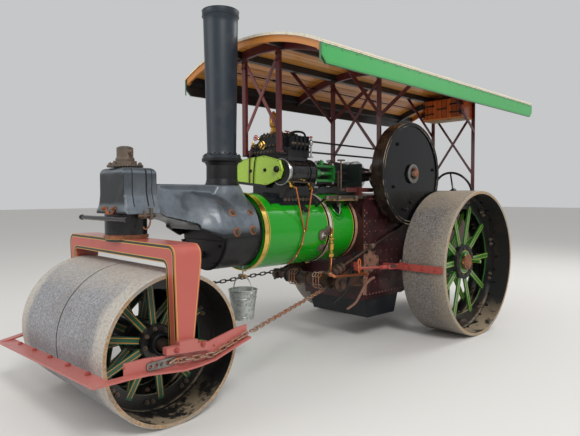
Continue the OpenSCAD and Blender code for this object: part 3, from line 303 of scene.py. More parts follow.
def spokeLines(facts):
    def pattern(paint, shade):
        centre = facts["centre"]
        away = paint.radius(centre)
        angle = (paint.axis("Z") - centre.z).maths("ARCTAN2", paint.axis("X") - (centre.x - rearX))
        parting, innerFirst, outerFirst = facts["planes"]
        gap = math.tau / facts["count"]
        ahead = math.radians(outerFirst - innerFirst)
        first = (abs(paint.axis("Y")) > parting) * ahead + math.radians(innerFirst)
        turned = (angle - first + gap / 2).maths("FLOORED_MODULO", gap) - gap / 2
        aside = abs(away * turned.maths("SINE"))
        flat = abs(paint.facing("Y")) > 0.6
        lining = aside.between(facts["lineAt"] - 0.002, facts["lineAt"] + 0.0022) * flat
        shade = paint.mix(lining * (away < facts["ring"] + 0.03), shade, facts["line"])
        shade = paint.mix((away > facts["ring"]) * (aside > facts["half"] * 0.97), shade, "#191817")
        shade = paint.mix(away > facts["ring"] + 0.046, shade, "#191817")
        shade = paint.mix(away < facts["hub"], shade, facts["hubTone"])
        if facts["boss"]:
            shade = paint.mix(away < facts["boss"], shade, facts["green"])
            for ring in (facts["boss"], facts["boss"] * 0.74):
                shade = paint.mix(abs(away - ring) < 0.003, shade, facts["line"])
        low = paint.step(paint.axis("Z") - centre.z, -facts["ring"] * 0.6, -facts["ring"] * 1.05)
        mud = paint.step(paint.noise(9, 6, 0.7), 0.36, 0.56) * low * paint.step(paint.facing("Z"), 0.05, 0.5)
        return paint.mix(mud, shade, "#a8987e")
    return pattern


def wheelFace(paint, shade):
    away = paint.radius(crank)
    flat = abs(paint.facing("Y")) > 0.6
    worn = paint.step(paint.noise(14, 6, 0.7), 0.4, 0.66)
    rimTop = (away > 0.53) * (1 - flat)
    return paint.mix(rimTop, shade, paint.mix(worn, "#1a1512", "#382c25"))


def wornEdge(paint, shade):
    rubbed = paint.step(paint.noise(3.5, 6, 0.7), 0.5, 0.58)
    return paint.mix(rubbed, shade, "#a3917c")


def valanceEdge(paint, shade):
    x, y, z = paint.axis("X"), paint.axis("Y"), paint.axis("Z")
    inset = (z - 2.532).least(2.684 - z)
    for end in (2.390 - x, x + 1.748):
        # The lower corners are cut off
        inset = inset.least(end).least((end + z - 2.592) * 0.7071)
    shade = paint.mix(inset.between(0.013, 0.0175), shade, "#2c7a3f")
    shade = paint.mix(inset < 0.005, shade, "#1f5a2c")
    outward = y.maths("SIGN") * paint.facing("Y")
    return paint.mix(outward < -0.5, shade, "#1f1a1a")


def headPaintedSheen(paint, shade):
    # Painted sheen and reflection: silvery where the casting faces up or out, most low on the near face, with
    # dark oil runs down the head
    x, z = paint.axis("X"), paint.axis("Z")
    cloud = paint.noise(5.5, 6, 0.62)
    tilt = paint.facing("Z")
    lean = tilt + cloud * 0.3
    flankSheen = paint.step(lean, 0.16, 0.34) * paint.step(lean, 0.86, 0.5, 0.38, 1.0)
    outward = paint.step(paint.facing("Y"), 0.6, 0.95) * (z > 1.36) * paint.step(z, 1.72, 1.42, 0.25, 0.95)
    sheenTone = paint.mix(paint.step(cloud, 0.35, 0.65), "#919ba4", "#4b545d")
    sheenMask = flankSheen.most(outward) * paint.step(cloud, 0.3, 0.6, 0.45, 0.8)
    shade = paint.mix(sheenMask, shade, sheenTone)
    for run, half in ((3.585, 0.004), (3.475, 0.006), (3.43, 0.003)):
        streak = abs(x + paint.noise(9, 2, 0.5) * 0.012 - run) < half
        shade = paint.mix(streak * (paint.facing("Y") > 0.6) * (z > 1.44), shade, "#101317")
    low = paint.step(z + cloud * 0.05, 1.27, 1.22) * (x > 3.2)
    return paint.mix(low * paint.step(cloud, 0.4, 0.6), shade, "#5f3a26")


def frameTones(paint, shade):
    x, y = paint.axis("X"), abs(paint.axis("Y"))
    black = y.between(0.264, 0.308).most(y > 0.862)
    black = black.most(x.between(-1.44, -1.35))
    shade = paint.mix(black, shade, "#1c1a1b")
    ends = (x > 2.355).most(x < -1.71)
    return paint.mix(ends, shade, "#b9762f")


def motionTones(paint, shade):
    # Green only by the cylinders; rods and guides black, the side beams and big ends maroon
    along, across, up = paint.axis("X"), abs(paint.axis("Y")), paint.axis("Z")
    shade = paint.mix((along < 1.43) + (up > 1.86), shade, "#15161a")
    shade = paint.mix((across > 0.335) * (up < 1.6), shade, "#5a2426")
    return paint.mix((along < 0.84) * (up < 1.82) * (up > 1.66) * (across > 0.17), shade, "#6a2428")


def postTones(paint, shade):
    lighter = (paint.axis("X") > 2.1) * (abs(paint.axis("Y")) < 0.205)
    return paint.mix(lighter, shade, "#6f3330")


plainFinishes = {
    "chimneyPaint": dict(colour="#1b2731", gloss=0.4, coat=0.05, dust=0.5, shine=0.45),
    "glossBlack": dict(colour="#0e1013", gloss=0.22, coat=0.2, dust=0.3, shine=0.35),
    # The head's silvery patches are a painted reflection
    "headPaint": dict(colour="#121518", dirt="#0b0c0e", gloss=0.32, coat=0.08, dust=0.15, shine=0.35,
                      pattern=headPaintedSheen),
    "smokeBlack": dict(colour="#151618", gloss=0.4, coat=0.05, dust=0.5, shine=0.35),
    "castBlack": dict(colour="#101216", gloss=0.42, coat=0.0, dust=0.35, shine=0.28, grime=0.2),
    "boilerGreen": dict(colour="#128f16", dirt="#0a5a0f", gloss=0.17, coat=0.3, dust=0.08, shine=0.35,
                        pattern=boilerLines),
    "maroonPaint": dict(colour="#4b1c20", dirt="#1f1010", gloss=0.38, coat=0.15, dust=0.5),
    "hornMaroon": dict(colour="#3b1519", dirt="#120c0d", gloss=0.34, coat=0.12, dust=0.2, grime=0.8,
                       grain=1.6, shine=0.35),
    "postMaroon": dict(colour="#561b1e", dirt="#241012", gloss=0.34, coat=0.2, dust=0.2, pattern=postTones),
    "frameMaroon": dict(colour="#541c1f", dirt="#241012", gloss=0.4, coat=0.1, dust=0.2, pattern=frameTones),
    "forkRed": dict(colour="#b3564c", dirt="#8a3f38", gloss=0.3, coat=0.2, dust=0.35, pattern=forkLines),
    "redOxide": dict(colour="#b2625a", dirt="#7c3f3a", gloss=0.36, coat=0.15, dust=0.8),
    "linkRed": dict(colour="#a5473f", dirt="#5c2824", gloss=0.4, coat=0.1, dust=0.5, grime=0.3),
    "limePaint": dict(colour="#a8cc3f", dirt="#7f9a2a", gloss=0.2, coat=0.5, dust=0.25),
    "motionGreen": dict(colour="#1f7a2c", dirt="#0f3d18", gloss=0.25, coat=0.4, dust=0.1, grime=0.25),
    "motionPaint": dict(colour="#1c6e28", dirt="#0d3315", gloss=0.3, coat=0.3, dust=0.1, grime=0.3,
                        pattern=motionTones),
    "tenderPaint": dict(colour="#431a1d", dirt="#1b1011", gloss=0.36, coat=0.15, dust=0.4, grime=0.2),
    "roofCloth": dict(colour="#d9cfb4", dirt="#a1927a", gloss=0.6, coat=0.0, dust=0.3, grain=2.0, shine=0.3),
    "gaugeFace": dict(colour="#e4e0d3", dirt="#c9c2ae", gloss=0.3, coat=0.4, dust=0.05),
    "valanceGreen": dict(colour="#389f4f", dirt="#27803c", gloss=0.34, coat=0.2, dust=0.2,
                         pattern=valanceEdge),
    "wheelBlack": dict(colour="#090b0e", dirt="#050607", gloss=0.2, coat=0.1, dust=0.1, shine=0.25,
                       pattern=wheelFace),
    "wheelEdge": dict(colour="#1b1918", dirt="#0d0c0c", gloss=0.35, coat=0.05, dust=0.1, pattern=wornEdge),
    "gussetPaint": dict(colour="#86604f", dirt="#40241e", gloss=0.42, coat=0.05, dust=0.6, grime=0.35,
                        grain=2.0),
    # Paler maroon for rivet and stay heads: painted highlight on the hornplates' own maroon
    "rivetLitMaroon": dict(colour="#6f3e3b", dirt="#2a1515", gloss=0.34, coat=0.1, dust=0.4),
    "ashBlue": dict(colour="#13181e", dirt="#121315", gloss=0.4, coat=0.05, dust=0.4, grime=0.5, shine=0.3),
    "frontSpokes": dict(colour="#24593f", dirt="#15301f", gloss=0.34, coat=0.2, dust=0.25,
                        pattern=spokeLines(spokeFacts["front"])),
    "rearSpokes": dict(colour="#2f6b2b", dirt="#2f6a2c", gloss=0.3, coat=0.3, dust=0.2,
                       pattern=spokeLines(spokeFacts["rear"])),
    "orangePaint": dict(colour="#c9622e", dirt="#8a3f1c", gloss=0.35, coat=0.2, dust=0.3),
    "redPaint": dict(colour="#b3201c", dirt="#5c1210", gloss=0.25, coat=0.5, dust=0.1),
}
made = {name: paintWork(name, **facts) for name, facts in plainFinishes.items()}
made["rustyIron"] = rustyIron("rustyIron", "#7a5540", "#9c5f38")
# Pale rust for the near chain and the drum's coils, lightened as painted light on sunlit links
made["chainRustLit"] = rustyIron("chainRustLit", "#a39182", "#9a5c35", "#3a2318", 0.45, 0.7)
made["darkIron"] = rustyIron("darkIron", "#3a3431", "#4d3a2e", "#201a17", 0.5)
made["agedIron"] = rustyIron("agedIron", "#5d574f", "#6b5644", "#2e2823", 0.55)
made["drumIron"] = rustyIron("drumIron", "#2a2624", "#58361f", "#161311", 0.5)
made["brass"] = polished("brass", "#d9b25c", "#8f6f30", 0.14)
made["oldBrass"] = polished("oldBrass", "#c29243", "#7a5426", 0.26)
made["copper"] = polished("copper", "#cf7d52", "#96502d", 0.24)
made["brightSteel"] = polished("brightSteel", "#bfc0be", "#7f7c76", 0.18)
made["wornSteel"] = polished("wornSteel", "#8d8a85", "#4c443d", 0.3, 0.3)


def bandMetal(name):
    # Brass in front, bare steel in the middle, a pinkish worn band at the rear; dark edges and thin lines
    band = Finish(name, Metallic=1.0)
    x = band.axis("X")
    drift = band.noise(16, 5, 0.6)
    fine = band.noise(160, 3, 0.6)
    brass = band.mix(band.step(drift, 0.45, 0.75, 0, 0.6), "#ecc968", "#a07c34")
    steel = band.mix(band.step(drift, 0.45, 0.75, 0, 0.6), "#cfcab8", "#98907c")
    worn = band.mix(band.step(drift, 0.4, 0.7), "#d2a88a", "#a97a58")
    shade = band.mix(x < 2.0, brass, band.mix(x < 1.4, steel, worn))
    for middle in (1.606, 1.216):
        shade = band.mix(abs(x - middle).between(0.0195, 0.025), shade, "#15141a")
    band.paint(shade, band.step(drift * 0.6 + fine * 0.4, 0.3, 0.75, 0.14, 0.34),
               band.step(x, 2.0, 2.01, 0.35, 1.0))
    return band.bump(fine, 0.0003, 0.3)


made["bandMetal"] = bandMetal("bandMetal")


def zincSheet(name):
    zinc = Finish(name)
    spangle = zinc.cells(38)
    drift = zinc.noise(9, 5, 0.6)
    shade = zinc.mix(zinc.step(spangle, 0.1, 0.6), "#8b9190", "#b9bdb8")
    shade = zinc.mix(zinc.step(drift, 0.45, 0.75, 0, 0.6), shade, "#6f6f68")
    zinc.paint(shade, zinc.step(drift, 0.3, 0.7, 0.36, 0.58), 0.65)
    return zinc.bump(drift, 0.001, 0.4)


made["zinc"] = zincSheet("zinc")


def roofBoards(name):
    # Painted canvas above, varnished boards below, a pale moulding on the edges
    roof = Finish(name, Coat_Roughness=0.15)
    z = roof.facing("Z")
    wood, within, grain = boards(roof, roof.axis("Y"), 0.088, "#f3a84a", "#c9761f", (2.5, 46, 46))
    weather = roof.noise(3.2, 6, 0.6)
    canvas = roof.mix(roof.step(weather, 0.35, 0.7), "#cfc9ba", "#a9a292")
    moulding = roof.mix(roof.step(roof.noise(30, 5, 0.6), 0.45, 0.7), "#d9d3c2", "#a89f8c")
    below = z < -0.5
    shade = roof.mix(below, roof.mix(z > 0.5, moulding, canvas), wood)
    roof.paint(shade, roof.step(grain, 0.3, 0.7, 0.3, 0.45) + (z > -0.5) * 0.25, coat=below * 0.3)
    return roof.bump(below * roof.step(within, 0.44, 0.5, 0, -1) + weather * 0.2 + grain * 0.1, 0.003, 0.5)


def lockerBoards(name):
    box = Finish(name, Coat_Roughness=0.15)
    frontal = abs(box.facing("X")) > 0.5
    wood, within, grain = boards(box, box.axis("Y"), 0.072, "#d76a22", "#a04512", (30, 46, 3), 0.07)
    plain = box.mix(box.step(box.noise(1.0, 6, 0.6, box.stretched((4, 30, 60))), 0.35, 0.7), "#b8571c",
                    "#8a3a12")
    shade = box.mix(frontal, plain, wood)
    up, across = box.axis("Z"), abs(box.axis("Y"))
    shade = box.mix(up < 2.552, shade, "#d98a44")
    # Black strap hinges where the knuckles stand proud of the doors
    hinge = (abs(abs(up - 2.6715) - 0.0555) < 0.010).most(across > 0.252)
    shade = box.mix(hinge * (box.axis("X") > -1.0712), shade, "#151414")
    box.paint(shade, box.step(grain, 0.3, 0.7, 0.28, 0.42), coat=0.35)
    return box.bump(frontal * box.step(within, 0.43, 0.5, 0, -1) + grain * 0.15, 0.003, 0.5)


def plankWood(name):
    plank = Finish(name)
    grain = plank.noise(1.0, 6, 0.65, plank.stretched((5, 60, 60)))
    shade = plank.mix(plank.step(grain, 0.35, 0.68), "#a98a5e", "#5f4526")
    plank.paint(shade, plank.step(grain, 0.3, 0.7, 0.5, 0.75))
    return plank.bump(grain, 0.002, 0.5)


made["roofBoards"] = roofBoards("roofBoards")
made["lockerBoards"] = lockerBoards("lockerBoards")
made["plankWood"] = plankWood("plankWood")

# The worn colour paints the lit band by each outer edge and the paler top
rollFacts = {
    "front": dict(centre=frontAxle, radius=0.510, wall=0.030, light="#9b9b9e", dark="#5c5f66",
                  fleck="#d3d0ca", stain="#6d6359", pit="#393735", worn="#c4bbad", litFrom=0.52,
                  litTo=0.60),
    "rear": dict(centre=rearAxle, radius=0.780, wall=0.034, light="#8d8781", dark="#4d4946",
                 fleck="#bdb7ae", stain="#6f5d4b", pit="#26211e", worn="#b9ab95", litFrom=0.90,
                 litTo=1.16),
}


def rollSteel(name, centre, radius, wall, light, dark, fleck, stain, pit, worn, litFrom, litTo):
    # Worn rolling face, tan rusty edges and a dark inside, told apart by the distance from the axle
    steel = Finish(name)
    away = steel.radius(centre)
    speck = steel.cells(120)
    pits = steel.noise(60, 5, 0.75)
    fine = steel.noise(210, 3, 0.7)
    broad = steel.noise(2.6, 5, 0.62)
    around = steel.noise(7, 4, 0.6, steel.stretched((3, 30, 3), tuple(centre)))
    face = steel.mix(steel.step(pits, 0.4, 0.6), dark, light)
    face = steel.mix(steel.step(fine, 0.54, 0.66, 0, 0.7), face, fleck)
    face = steel.mix(steel.step(broad, 0.4, 0.68, 0.0, 0.45), face, stain)
    face = steel.mix(steel.step(speck, 0.08, 0.26, 0.6, 0.0), face, pit)
    face = steel.mix(steel.step(around, 0.52, 0.72, 0, 0.3), face, light)
    # A paler ragged band towards the outer edge is painted light, and the top is paler too
    litBand = steel.step(abs(steel.axis("Y")) + broad * 0.3 - 0.15, litFrom, litTo)
    paleTop = steel.step(steel.axis("Z") - centre.z + broad * radius * 0.6, radius * 0.95, radius * 1.3)
    face = steel.mix(litBand.most(paleTop) * steel.step(pits, 0.35, 0.6, 0.35, 0.75), face, worn)
    face = steel.mix(abs(steel.axis("Y")) < 0.008, face, "#1c1a19")
    edge = steel.mix(steel.step(pits, 0.4, 0.65), "#b09a7c", "#8a6440")
    edge = steel.mix(steel.step(broad, 0.45, 0.6), edge, "#8d867c")
    inside = steel.mix(steel.step(pits, 0.5, 0.72, 0, 0.5), "#0f0e0e", "#29221d")
    inside = steel.mix(steel.step(broad, 0.5, 0.64, 0, 0.5), inside, "#33261c")
    low = steel.step(steel.axis("Z") - centre.z, -radius * 0.6, -radius * 0.92)
    mud = steel.step(steel.noise(5, 8, 0.74), 0.44, 0.5) * low
    inside = steel.mix(mud * 0.85, inside, "#9c8b72")
    rim = steel.step(away + pits * 0.004, radius - 0.006, radius - 0.003)
    shade = steel.mix(abs(steel.facing("Y")) > 0.5, inside, edge)
    shade = steel.mix(rim, shade, face)
    steel.paint(shade, steel.step(pits, 0.3, 0.7, 0.5, 0.78), rim * 0.12)
    return steel.bump(pits * 0.5 + speck * 0.3 + fine * 0.2, 0.0016, 0.55)


for end, facts in rollFacts.items():
    made[end + "Roll"] = rollSteel(end + "Roll", **facts)

print("finishes ready:", len(made))

finishNodes = {
    "smokeBlack": "smokebox smokebox_door", "headPaint": "headstock",
    "castBlack": "chimney_base valve_chest", "chimneyPaint": "chimney", "bandMetal": "boiler_bands",
    "boilerGreen": "boiler_barrel", "glossBlack": "cylinder_block steering_wheel",
    "limePaint": "cylinder_cover", "oldBrass": "safety_valve", "hornMaroon": "firebox hornplates",
    "ashBlue": "ashpan", "motionPaint": "motion_work", "maroonPaint": "gear_guard drawbar",
    # Right-hand chains dark iron, left-hand chains pale rust: painted shade and painted light on like chains
    "tenderPaint": "tender", "darkIron": "footplate chain_right_rear chain_right_front front_axle",
    "postMaroon": "canopy_posts", "frameMaroon": "canopy_frame", "roofBoards": "canopy_roof",
    "valanceGreen": "valance_left valance_right",
    "lockerBoards": "locker locker_door_left locker_door_right", "zinc": "bucket",
    "drumIron": "steering_gear", "chainRustLit": "chain_left_rear chain_left_front",
    "copper": "drain_pipes feed_pipe", "rustyIron": "rear_axle", "linkRed": "rear_scrapers",
    "forkRed": "fork", "redOxide": "scraper_frame", "agedIron": "king_pin", "brightSteel": "crankshaft",
    "wheelBlack": "flywheel", "frontRoll": "front_rim_left front_rim_right",
    "rearRoll": "rear_rim_left rear_rim_right", "frontSpokes": "front_centre_left front_centre_right",
    "rearSpokes": "rear_centre_left rear_centre_right",
}
nodeFinish = {node: finish for finish, group in finishNodes.items() for node in group.split()}
for name, finish in nodeFinish.items():
    nodes[name].data.materials.clear()
    nodes[name].data.materials.append(made[finish])

# Shapes


def aim(start, end):
    way = Vector(end) - Vector(start)
    return Matrix.Translation(start) @ way.to_track_quat("Z", "Y").to_matrix().to_4x4(), way.length


def smoothLine(points, steps=6):
    # A curve through all the points, for pipes and ropes
    points = [Vector(p) for p in points]
    padded = [points[0] * 2 - points[1]] + points + [points[-1] * 2 - points[-2]]
    line = []
    for a, b, c, d in zip(padded, padded[1:], padded[2:], padded[3:]):
        for k in range(steps):
            t = k / steps
            line.append(0.5 * (2 * b + (c - a) * t + (2 * a - 5 * b + 4 * c - d) * t * t
                               + (3 * b - a - 3 * c + d) * t ** 3))
    return line + [points[-1]]


def rounded(points, radius, steps=5):
    # The same line of points with its corners rounded off
    points = [Vector(p) for p in points]
    line = [points[0]]
    for before, corner, after in zip(points, points[1:], points[2:]):
        first = corner + (before - corner).normalized() * min(radius, (before - corner).length * 0.48)
        last = corner + (after - corner).normalized() * min(radius, (after - corner).length * 0.48)
        for k in range(steps + 1):
            t = k / steps
            line.append(first.lerp(corner, t).lerp(corner.lerp(last, t), t))
    return line + [points[-1]]


def makePiece(form, name, finish, sharp):
    mesh = bpy.data.meshes.new(name)
    form.to_mesh(mesh)
    form.free()
    mesh.materials.append(made[finish])
    mesh.shade_smooth()
    mesh.set_sharp_from_angle(angle=math.radians(sharp))
    piece = bpy.data.objects.new(name, mesh)
    bpy.context.scene.collection.objects.link(piece)
    return piece


def spot(x, y, z):
    return Vector((x, y, z))


class Shape:
    # Forms that are gathered into one piece of the machine, in millimetres
    waiting = []

    def __init__(self, name="", finish="", body="root", sharp=35, replaces=()):
        self.form = bmesh.new()
        self.name, self.finish, self.body, self.sharp, self.replaces = name, finish, body, sharp, replaces
        if name:
            Shape.waiting.append(self)

    def rod(self, start, end, radius, tip=None, sides=20):
        place, length = aim(start, end)
        place = place @ Matrix.Translation((0, 0, length / 2))
        bmesh.ops.create_cone(self.form, cap_ends=True, segments=sides, radius1=radius,
                              radius2=radius if tip is None else tip, depth=length, matrix=place)

    def nut(self, at, out, across, height, washer=1.45):
        # Washer, six-sided nut and the end of its stud
        at, out = Vector(at), Vector(out).normalized()
        self.rod(at - out * height * 0.1, at + out * height * 0.22, across * washer / 2, sides=16)
        self.rod(at + out * height * 0.15, at + out * height, across * 0.577, across * 0.54, 6)
        self.rod(at + out * height * 0.9, at + out * height * 1.35, across * 0.3, across * 0.24, 10)

    def rivet(self, at, out, radius):
        place, length = aim(at, Vector(at) + Vector(out))
        bmesh.ops.create_uvsphere(self.form, u_segments=10, v_segments=6, radius=radius,
                                  matrix=place @ Matrix.Diagonal((1, 1, 0.55, 1)))

    def ball(self, at, radius, sides=20):
        bmesh.ops.create_uvsphere(self.form, u_segments=sides, v_segments=sides // 2, radius=radius,
                                  matrix=Matrix.Translation(at))

    def block(self, size, place, edge):
        new = bmesh.ops.create_cube(self.form, size=1.0, matrix=place @ Matrix.Diagonal(tuple(size) + (1,)))
        edges = list({e for v in new["verts"] for e in v.link_edges})
        bmesh.ops.bevel(self.form, geom=edges, offset=edge, offset_type="OFFSET", segments=2, profile=0.5,
                        affect="EDGES", material=-1, clamp_overlap=True)

    def slab(self, low, high, edge=3):
        low, high = Vector(low), Vector(high)
        self.block(high - low, Matrix.Translation((low + high) / 2), edge)

    def bar(self, start, end, width, thick, edge=1.5):
        # A flat bar along a line; its width lies across the up direction
        place, length = aim(start, end)
        self.block((width, thick, length), place @ Matrix.Translation((0, 0, length / 2)), edge)

    def turned(self, profile, at, out, steps=48):
        # Turned on a lathe: pairs of distance along the axis and radius
        place, length = aim(at, Vector(at) + Vector(out))
        points = [self.form.verts.new(place @ Vector((radius, 0, along))) for along, radius in profile]
        edges = [self.form.edges.new(pair) for pair in zip(points, points[1:])]
        bmesh.ops.spin(self.form, geom=points + edges, cent=place.translation, axis=place.col[2].xyz,
                       dvec=(0, 0, 0), angle=math.tau, steps=steps, use_merge=True, use_duplicate=False)

    def hoop(self, centre, axis, radius, wire, sides=10, steps=48):
        # A wire bent into a ring
        away = Vector(axis).orthogonal().normalized() * radius
        points = [Vector(centre) + Quaternion(Vector(axis), math.tau * k / steps) @ away
                  for k in range(steps)]
        self.tube(points, wire, sides, closed=True)

    def tube(self, points, radius, sides=12, closed=False):
        # A round section carried along a line of points
        points = [Vector(p) for p in points]
        count = len(points)
        loops, turn, before = [], None, None
        for i, point in enumerate(points):
            if closed:
                ahead = (points[(i + 1) % count] - points[i - 1]).normalized()
            else:
                ahead = (points[min(i + 1, count - 1)] - points[max(i - 1, 0)]).normalized()
            turn = (before.rotation_difference(ahead) @ turn) if turn else ahead.to_track_quat("Z", "Y")
            before = ahead
            thick = radius(i / (count - 1)) if callable(radius) else radius
            capped = not closed and i in (0, count - 1)
            ring = bmesh.ops.create_circle(self.form, cap_ends=capped, segments=sides, radius=thick,
                                           matrix=Matrix.Translation(point) @ turn.to_matrix().to_4x4())
            verts = ring["verts"]
            held = set(verts)
            loops.append([e for e in {e for v in verts for e in v.link_edges} if set(e.verts) <= held])
        pairs = list(zip(loops, loops[1:])) + ([(loops[-1], loops[0])] if closed else [])
        for first, second in pairs:
            bmesh.ops.bridge_loops(self.form, edges=first + second)

    def plate(self, outline, thick, place, holes=()):
        # A flat plate cut to an outline, with round holes (x, y, radius)
        points = [self.form.verts.new((x, y, 0)) for x, y in outline]
        edges = [self.form.edges.new((a, b)) for a, b in zip(points, points[1:] + points[:1])]
        verts = list(points)
        for x, y, radius in holes:
            ring = bmesh.ops.create_circle(self.form, cap_ends=False, segments=20, radius=radius,
                                           matrix=Matrix.Translation((x, y, 0)))["verts"]
            verts += ring
            edges += list({e for v in ring for e in v.link_edges})
        faces = bmesh.ops.triangle_fill(self.form, use_beauty=True, edges=edges)["geom"]
        faces = [f for f in faces if isinstance(f, bmesh.types.BMFace)]
        raised = bmesh.ops.extrude_face_region(self.form, geom=faces, use_keep_orig=True)["geom"]
        new = [v for v in raised if isinstance(v, bmesh.types.BMVert)]
        bmesh.ops.translate(self.form, verts=new, vec=(0, 0, thick))
        bmesh.ops.transform(self.form, matrix=place, verts=verts + new)

    def keep(self):
        bmesh.ops.remove_doubles(self.form, verts=self.form.verts, dist=0.02)
        bmesh.ops.recalc_face_normals(self.form, faces=self.form.faces)
        bmesh.ops.transform(self.form, matrix=drawing, verts=self.form.verts)
        piece = makePiece(self.form, self.name, self.finish, self.sharp)
        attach(piece, self.body)
        if self.replaces:
            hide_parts(*self.replaces)


def endStage(words):
    for shape in Shape.waiting:
        shape.keep()
    Shape.waiting.clear()
    print(words, "ready")


def sidePlane(y, out=1):
    # Lays a plate drawn in (x, z) of the machine on the plane y; it grows towards out
    return Matrix.Translation((0, y, 0)) @ Matrix(((1, 0, 0), (0, 0, out), (0, 1, 0))).to_4x4()


def frontPlane(x):
    # Lays a plate drawn in (y, z) on the plane x; it grows forwards
    return Matrix.Translation((x, 0, 0)) @ Matrix(((0, 0, 1), (1, 0, 0), (0, 1, 0))).to_4x4()


def around(centre, axis, radius, count, first=0.0):
    # Places on a bolt circle, angles counted from above or from the front
    axis = Vector(axis).normalized()
    side = Vector((0, 0, 1)) if abs(axis.z) < 0.9 else Vector((1, 0, 0))
    for k in range(count):
        yield Vector(centre) + Quaternion(axis, math.tau * k / count + math.radians(first)) @ side * radius


# Places that many pieces share, and the sides of the machine
boilerZ = 1196
chimneyX, pivotX, headTop = 2638, 3532, 1722
frontAxleX, frontRollR, rearRollR = 3550, 510, 780
crankX, crankZ = 570, 1739
forwards, upwards = Vector((1, 0, 0)), Vector((0, 0, 1))
both = (1, -1)


def ray(angle):
    # Across the machine: 0 points to the near side, 90 up
    a = math.radians(angle)
    return Vector((0, math.cos(a), math.sin(a)))


def clock(angle):
    # In the plane of the wheels: 0 points up, 90 forwards
    a = math.radians(angle)
    return Vector((math.sin(a), 0, math.cos(a)))


# The voxel is in metres, like the scene
castingFacts = {
    "voxel": 0.009, "passes": 8, "rear": 2862, "low": 1166, "climb": 0.47,
    "cheek": [(0, 290), (0, 338), (18, 335.5), (55, 321.5), (98, 306), (140, 286.5), (183, 266.5), (183, 235),
              (140, 252), (98, 272), (55, 285), (0, 290)],
}


def smoothCopy(node, name, sharp, body="root", voxel=0, extra=None):
    # The same solid in place of its node, shaded smooth
    form = bmesh.new()
    form.from_mesh(nodes[node].data)
    bmesh.ops.remove_doubles(form, verts=form.verts, dist=0.0001)
    if extra:
        form.from_mesh(extra)
    piece = makePiece(form, name, nodeFinish[node], sharp)
    if voxel:
        # A casting: even faces, its edges rounded off
        even = piece.modifiers.new("even", "REMESH")
        even.mode = "VOXEL"
        even.voxel_size = voxel
        piece.modifiers.new("soft", "SMOOTH").iterations = castingFacts["passes"]
        graph = bpy.context.evaluated_depsgraph_get()
        piece.data = bpy.data.meshes.new_from_object(piece.evaluated_get(graph))
        piece.modifiers.clear()
        piece.data.shade_smooth()
    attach(piece, body)
    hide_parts(node)


def neckCheek():
    # The web between the saddle's front lip and the neck: a turned ring, cut off along the neck's lower edge
    cheek = Shape()
    rear = castingFacts["rear"]
    cheek.turned(castingFacts["cheek"], (rear, 0, middle("smokebox").z * 1000), (1, 0, 0), 96)
    bmesh.ops.remove_doubles(cheek.form, verts=cheek.form.verts, dist=0.01)
    bmesh.ops.bisect_plane(cheek.form, geom=cheek.form.verts[:] + cheek.form.edges[:] + cheek.form.faces[:],
                           plane_co=(rear, 0, castingFacts["low"]), plane_no=(-castingFacts["climb"], 0, 1),
                           clear_inner=True)
    bmesh.ops.holes_fill(cheek.form, edges=[e for e in cheek.form.edges if e.is_boundary])
    bmesh.ops.recalc_face_normals(cheek.form, faces=cheek.form.faces)
    bmesh.ops.transform(cheek.form, matrix=drawing, verts=cheek.form.verts)
    mesh = bpy.data.meshes.new("cheek")
    cheek.form.to_mesh(mesh)
    cheek.form.free()
    return mesh


smoothCopy("headstock", "headstock_casting", 32, voxel=castingFacts["voxel"], extra=neckCheek())

# Front end: saddle bolts, lamp bar, bracket on the neck, pivot cap

frontEnd = {
    "saddleBolts": [(2756, 1376, 30), (2747, 1223, 34), (2577, 1230, 34), (2566, 1376, 26)],
    "saddleRadius": 339, "barX": 3685, "barZ": 1352, "barY": (-420, 310),
    "smokeboxR": 305, "rivetRows": (2475, 2800), "mouth": 2820.5, "doorFace": 2844.5, "dartZ": 1020,
    "doorNuts": ((230, 1105), (140, 950)),
}


def saddleBolts():
    rust = Shape("saddle_washers", "rustyIron")
    heads = Shape("saddle_bolts", "agedIron")
    for x, z, size in frontEnd["saddleBolts"]:
        for side in both:
            up = (z - boilerZ) / frontEnd["saddleRadius"]
            out = Vector((0, side * math.sqrt(1 - up * up), up))
            at = spot(x, 0, boilerZ) + out * frontEnd["saddleRadius"]
            rust.turned([(0, 0), (0, size * 1.15), (5, size * 1.1), (7, size * 0.9), (7, 0)], at - out * 3,
                        out, 24)
            heads.nut(at + out * 3, out, size * 1.1, size * 0.7, 1.3)
    for x, y in ((2620, 205), (2830, 215), (2620, -205), (2830, -215)):
        # Rust patches with broken studs on top of the saddle
        z = boilerZ + math.sqrt(frontEnd["saddleRadius"] ** 2 - y * y)
        out = Vector((0, y, z - boilerZ)).normalized()
        rust.rod(spot(x, y, z) - out * 4, spot(x, y, z) + out * 4, 26, 20, 14)
        heads.rod((x, y, z), spot(x, y, z) + out * 16, 11, 9, 10)


def lampBar():
    bar = Shape("lamp_bar", "glossBlack")
    rusty = Shape("lamp_bar_bracket", "rustyIron")
    x, z = frontEnd["barX"], frontEnd["barZ"]
    low, high = frontEnd["barY"]
    bar.rod((x, low, z), (x, high, z), 17, sides=24)
    for y in (low, high):
        bar.rod(spot(x, y, z) - Vector((0, 12, 0)), spot(x, y, z) + Vector((0, 12, 0)), 21, sides=24)
    bar.slab((x - 58, -200, z - 12), (x - 6, 200, z + 10), 4)
    for side in both:
        rusty.bar((x - 28, side * 10, z + 15), (x - 26, side * 85, z + 82), 12, 30)
        rusty.nut((x - 12, side * 75, z + 73), forwards, 20, 12)
    rusty.slab((x - 45, -35, z + 8), (x - 10, 35, z + 22), 3)


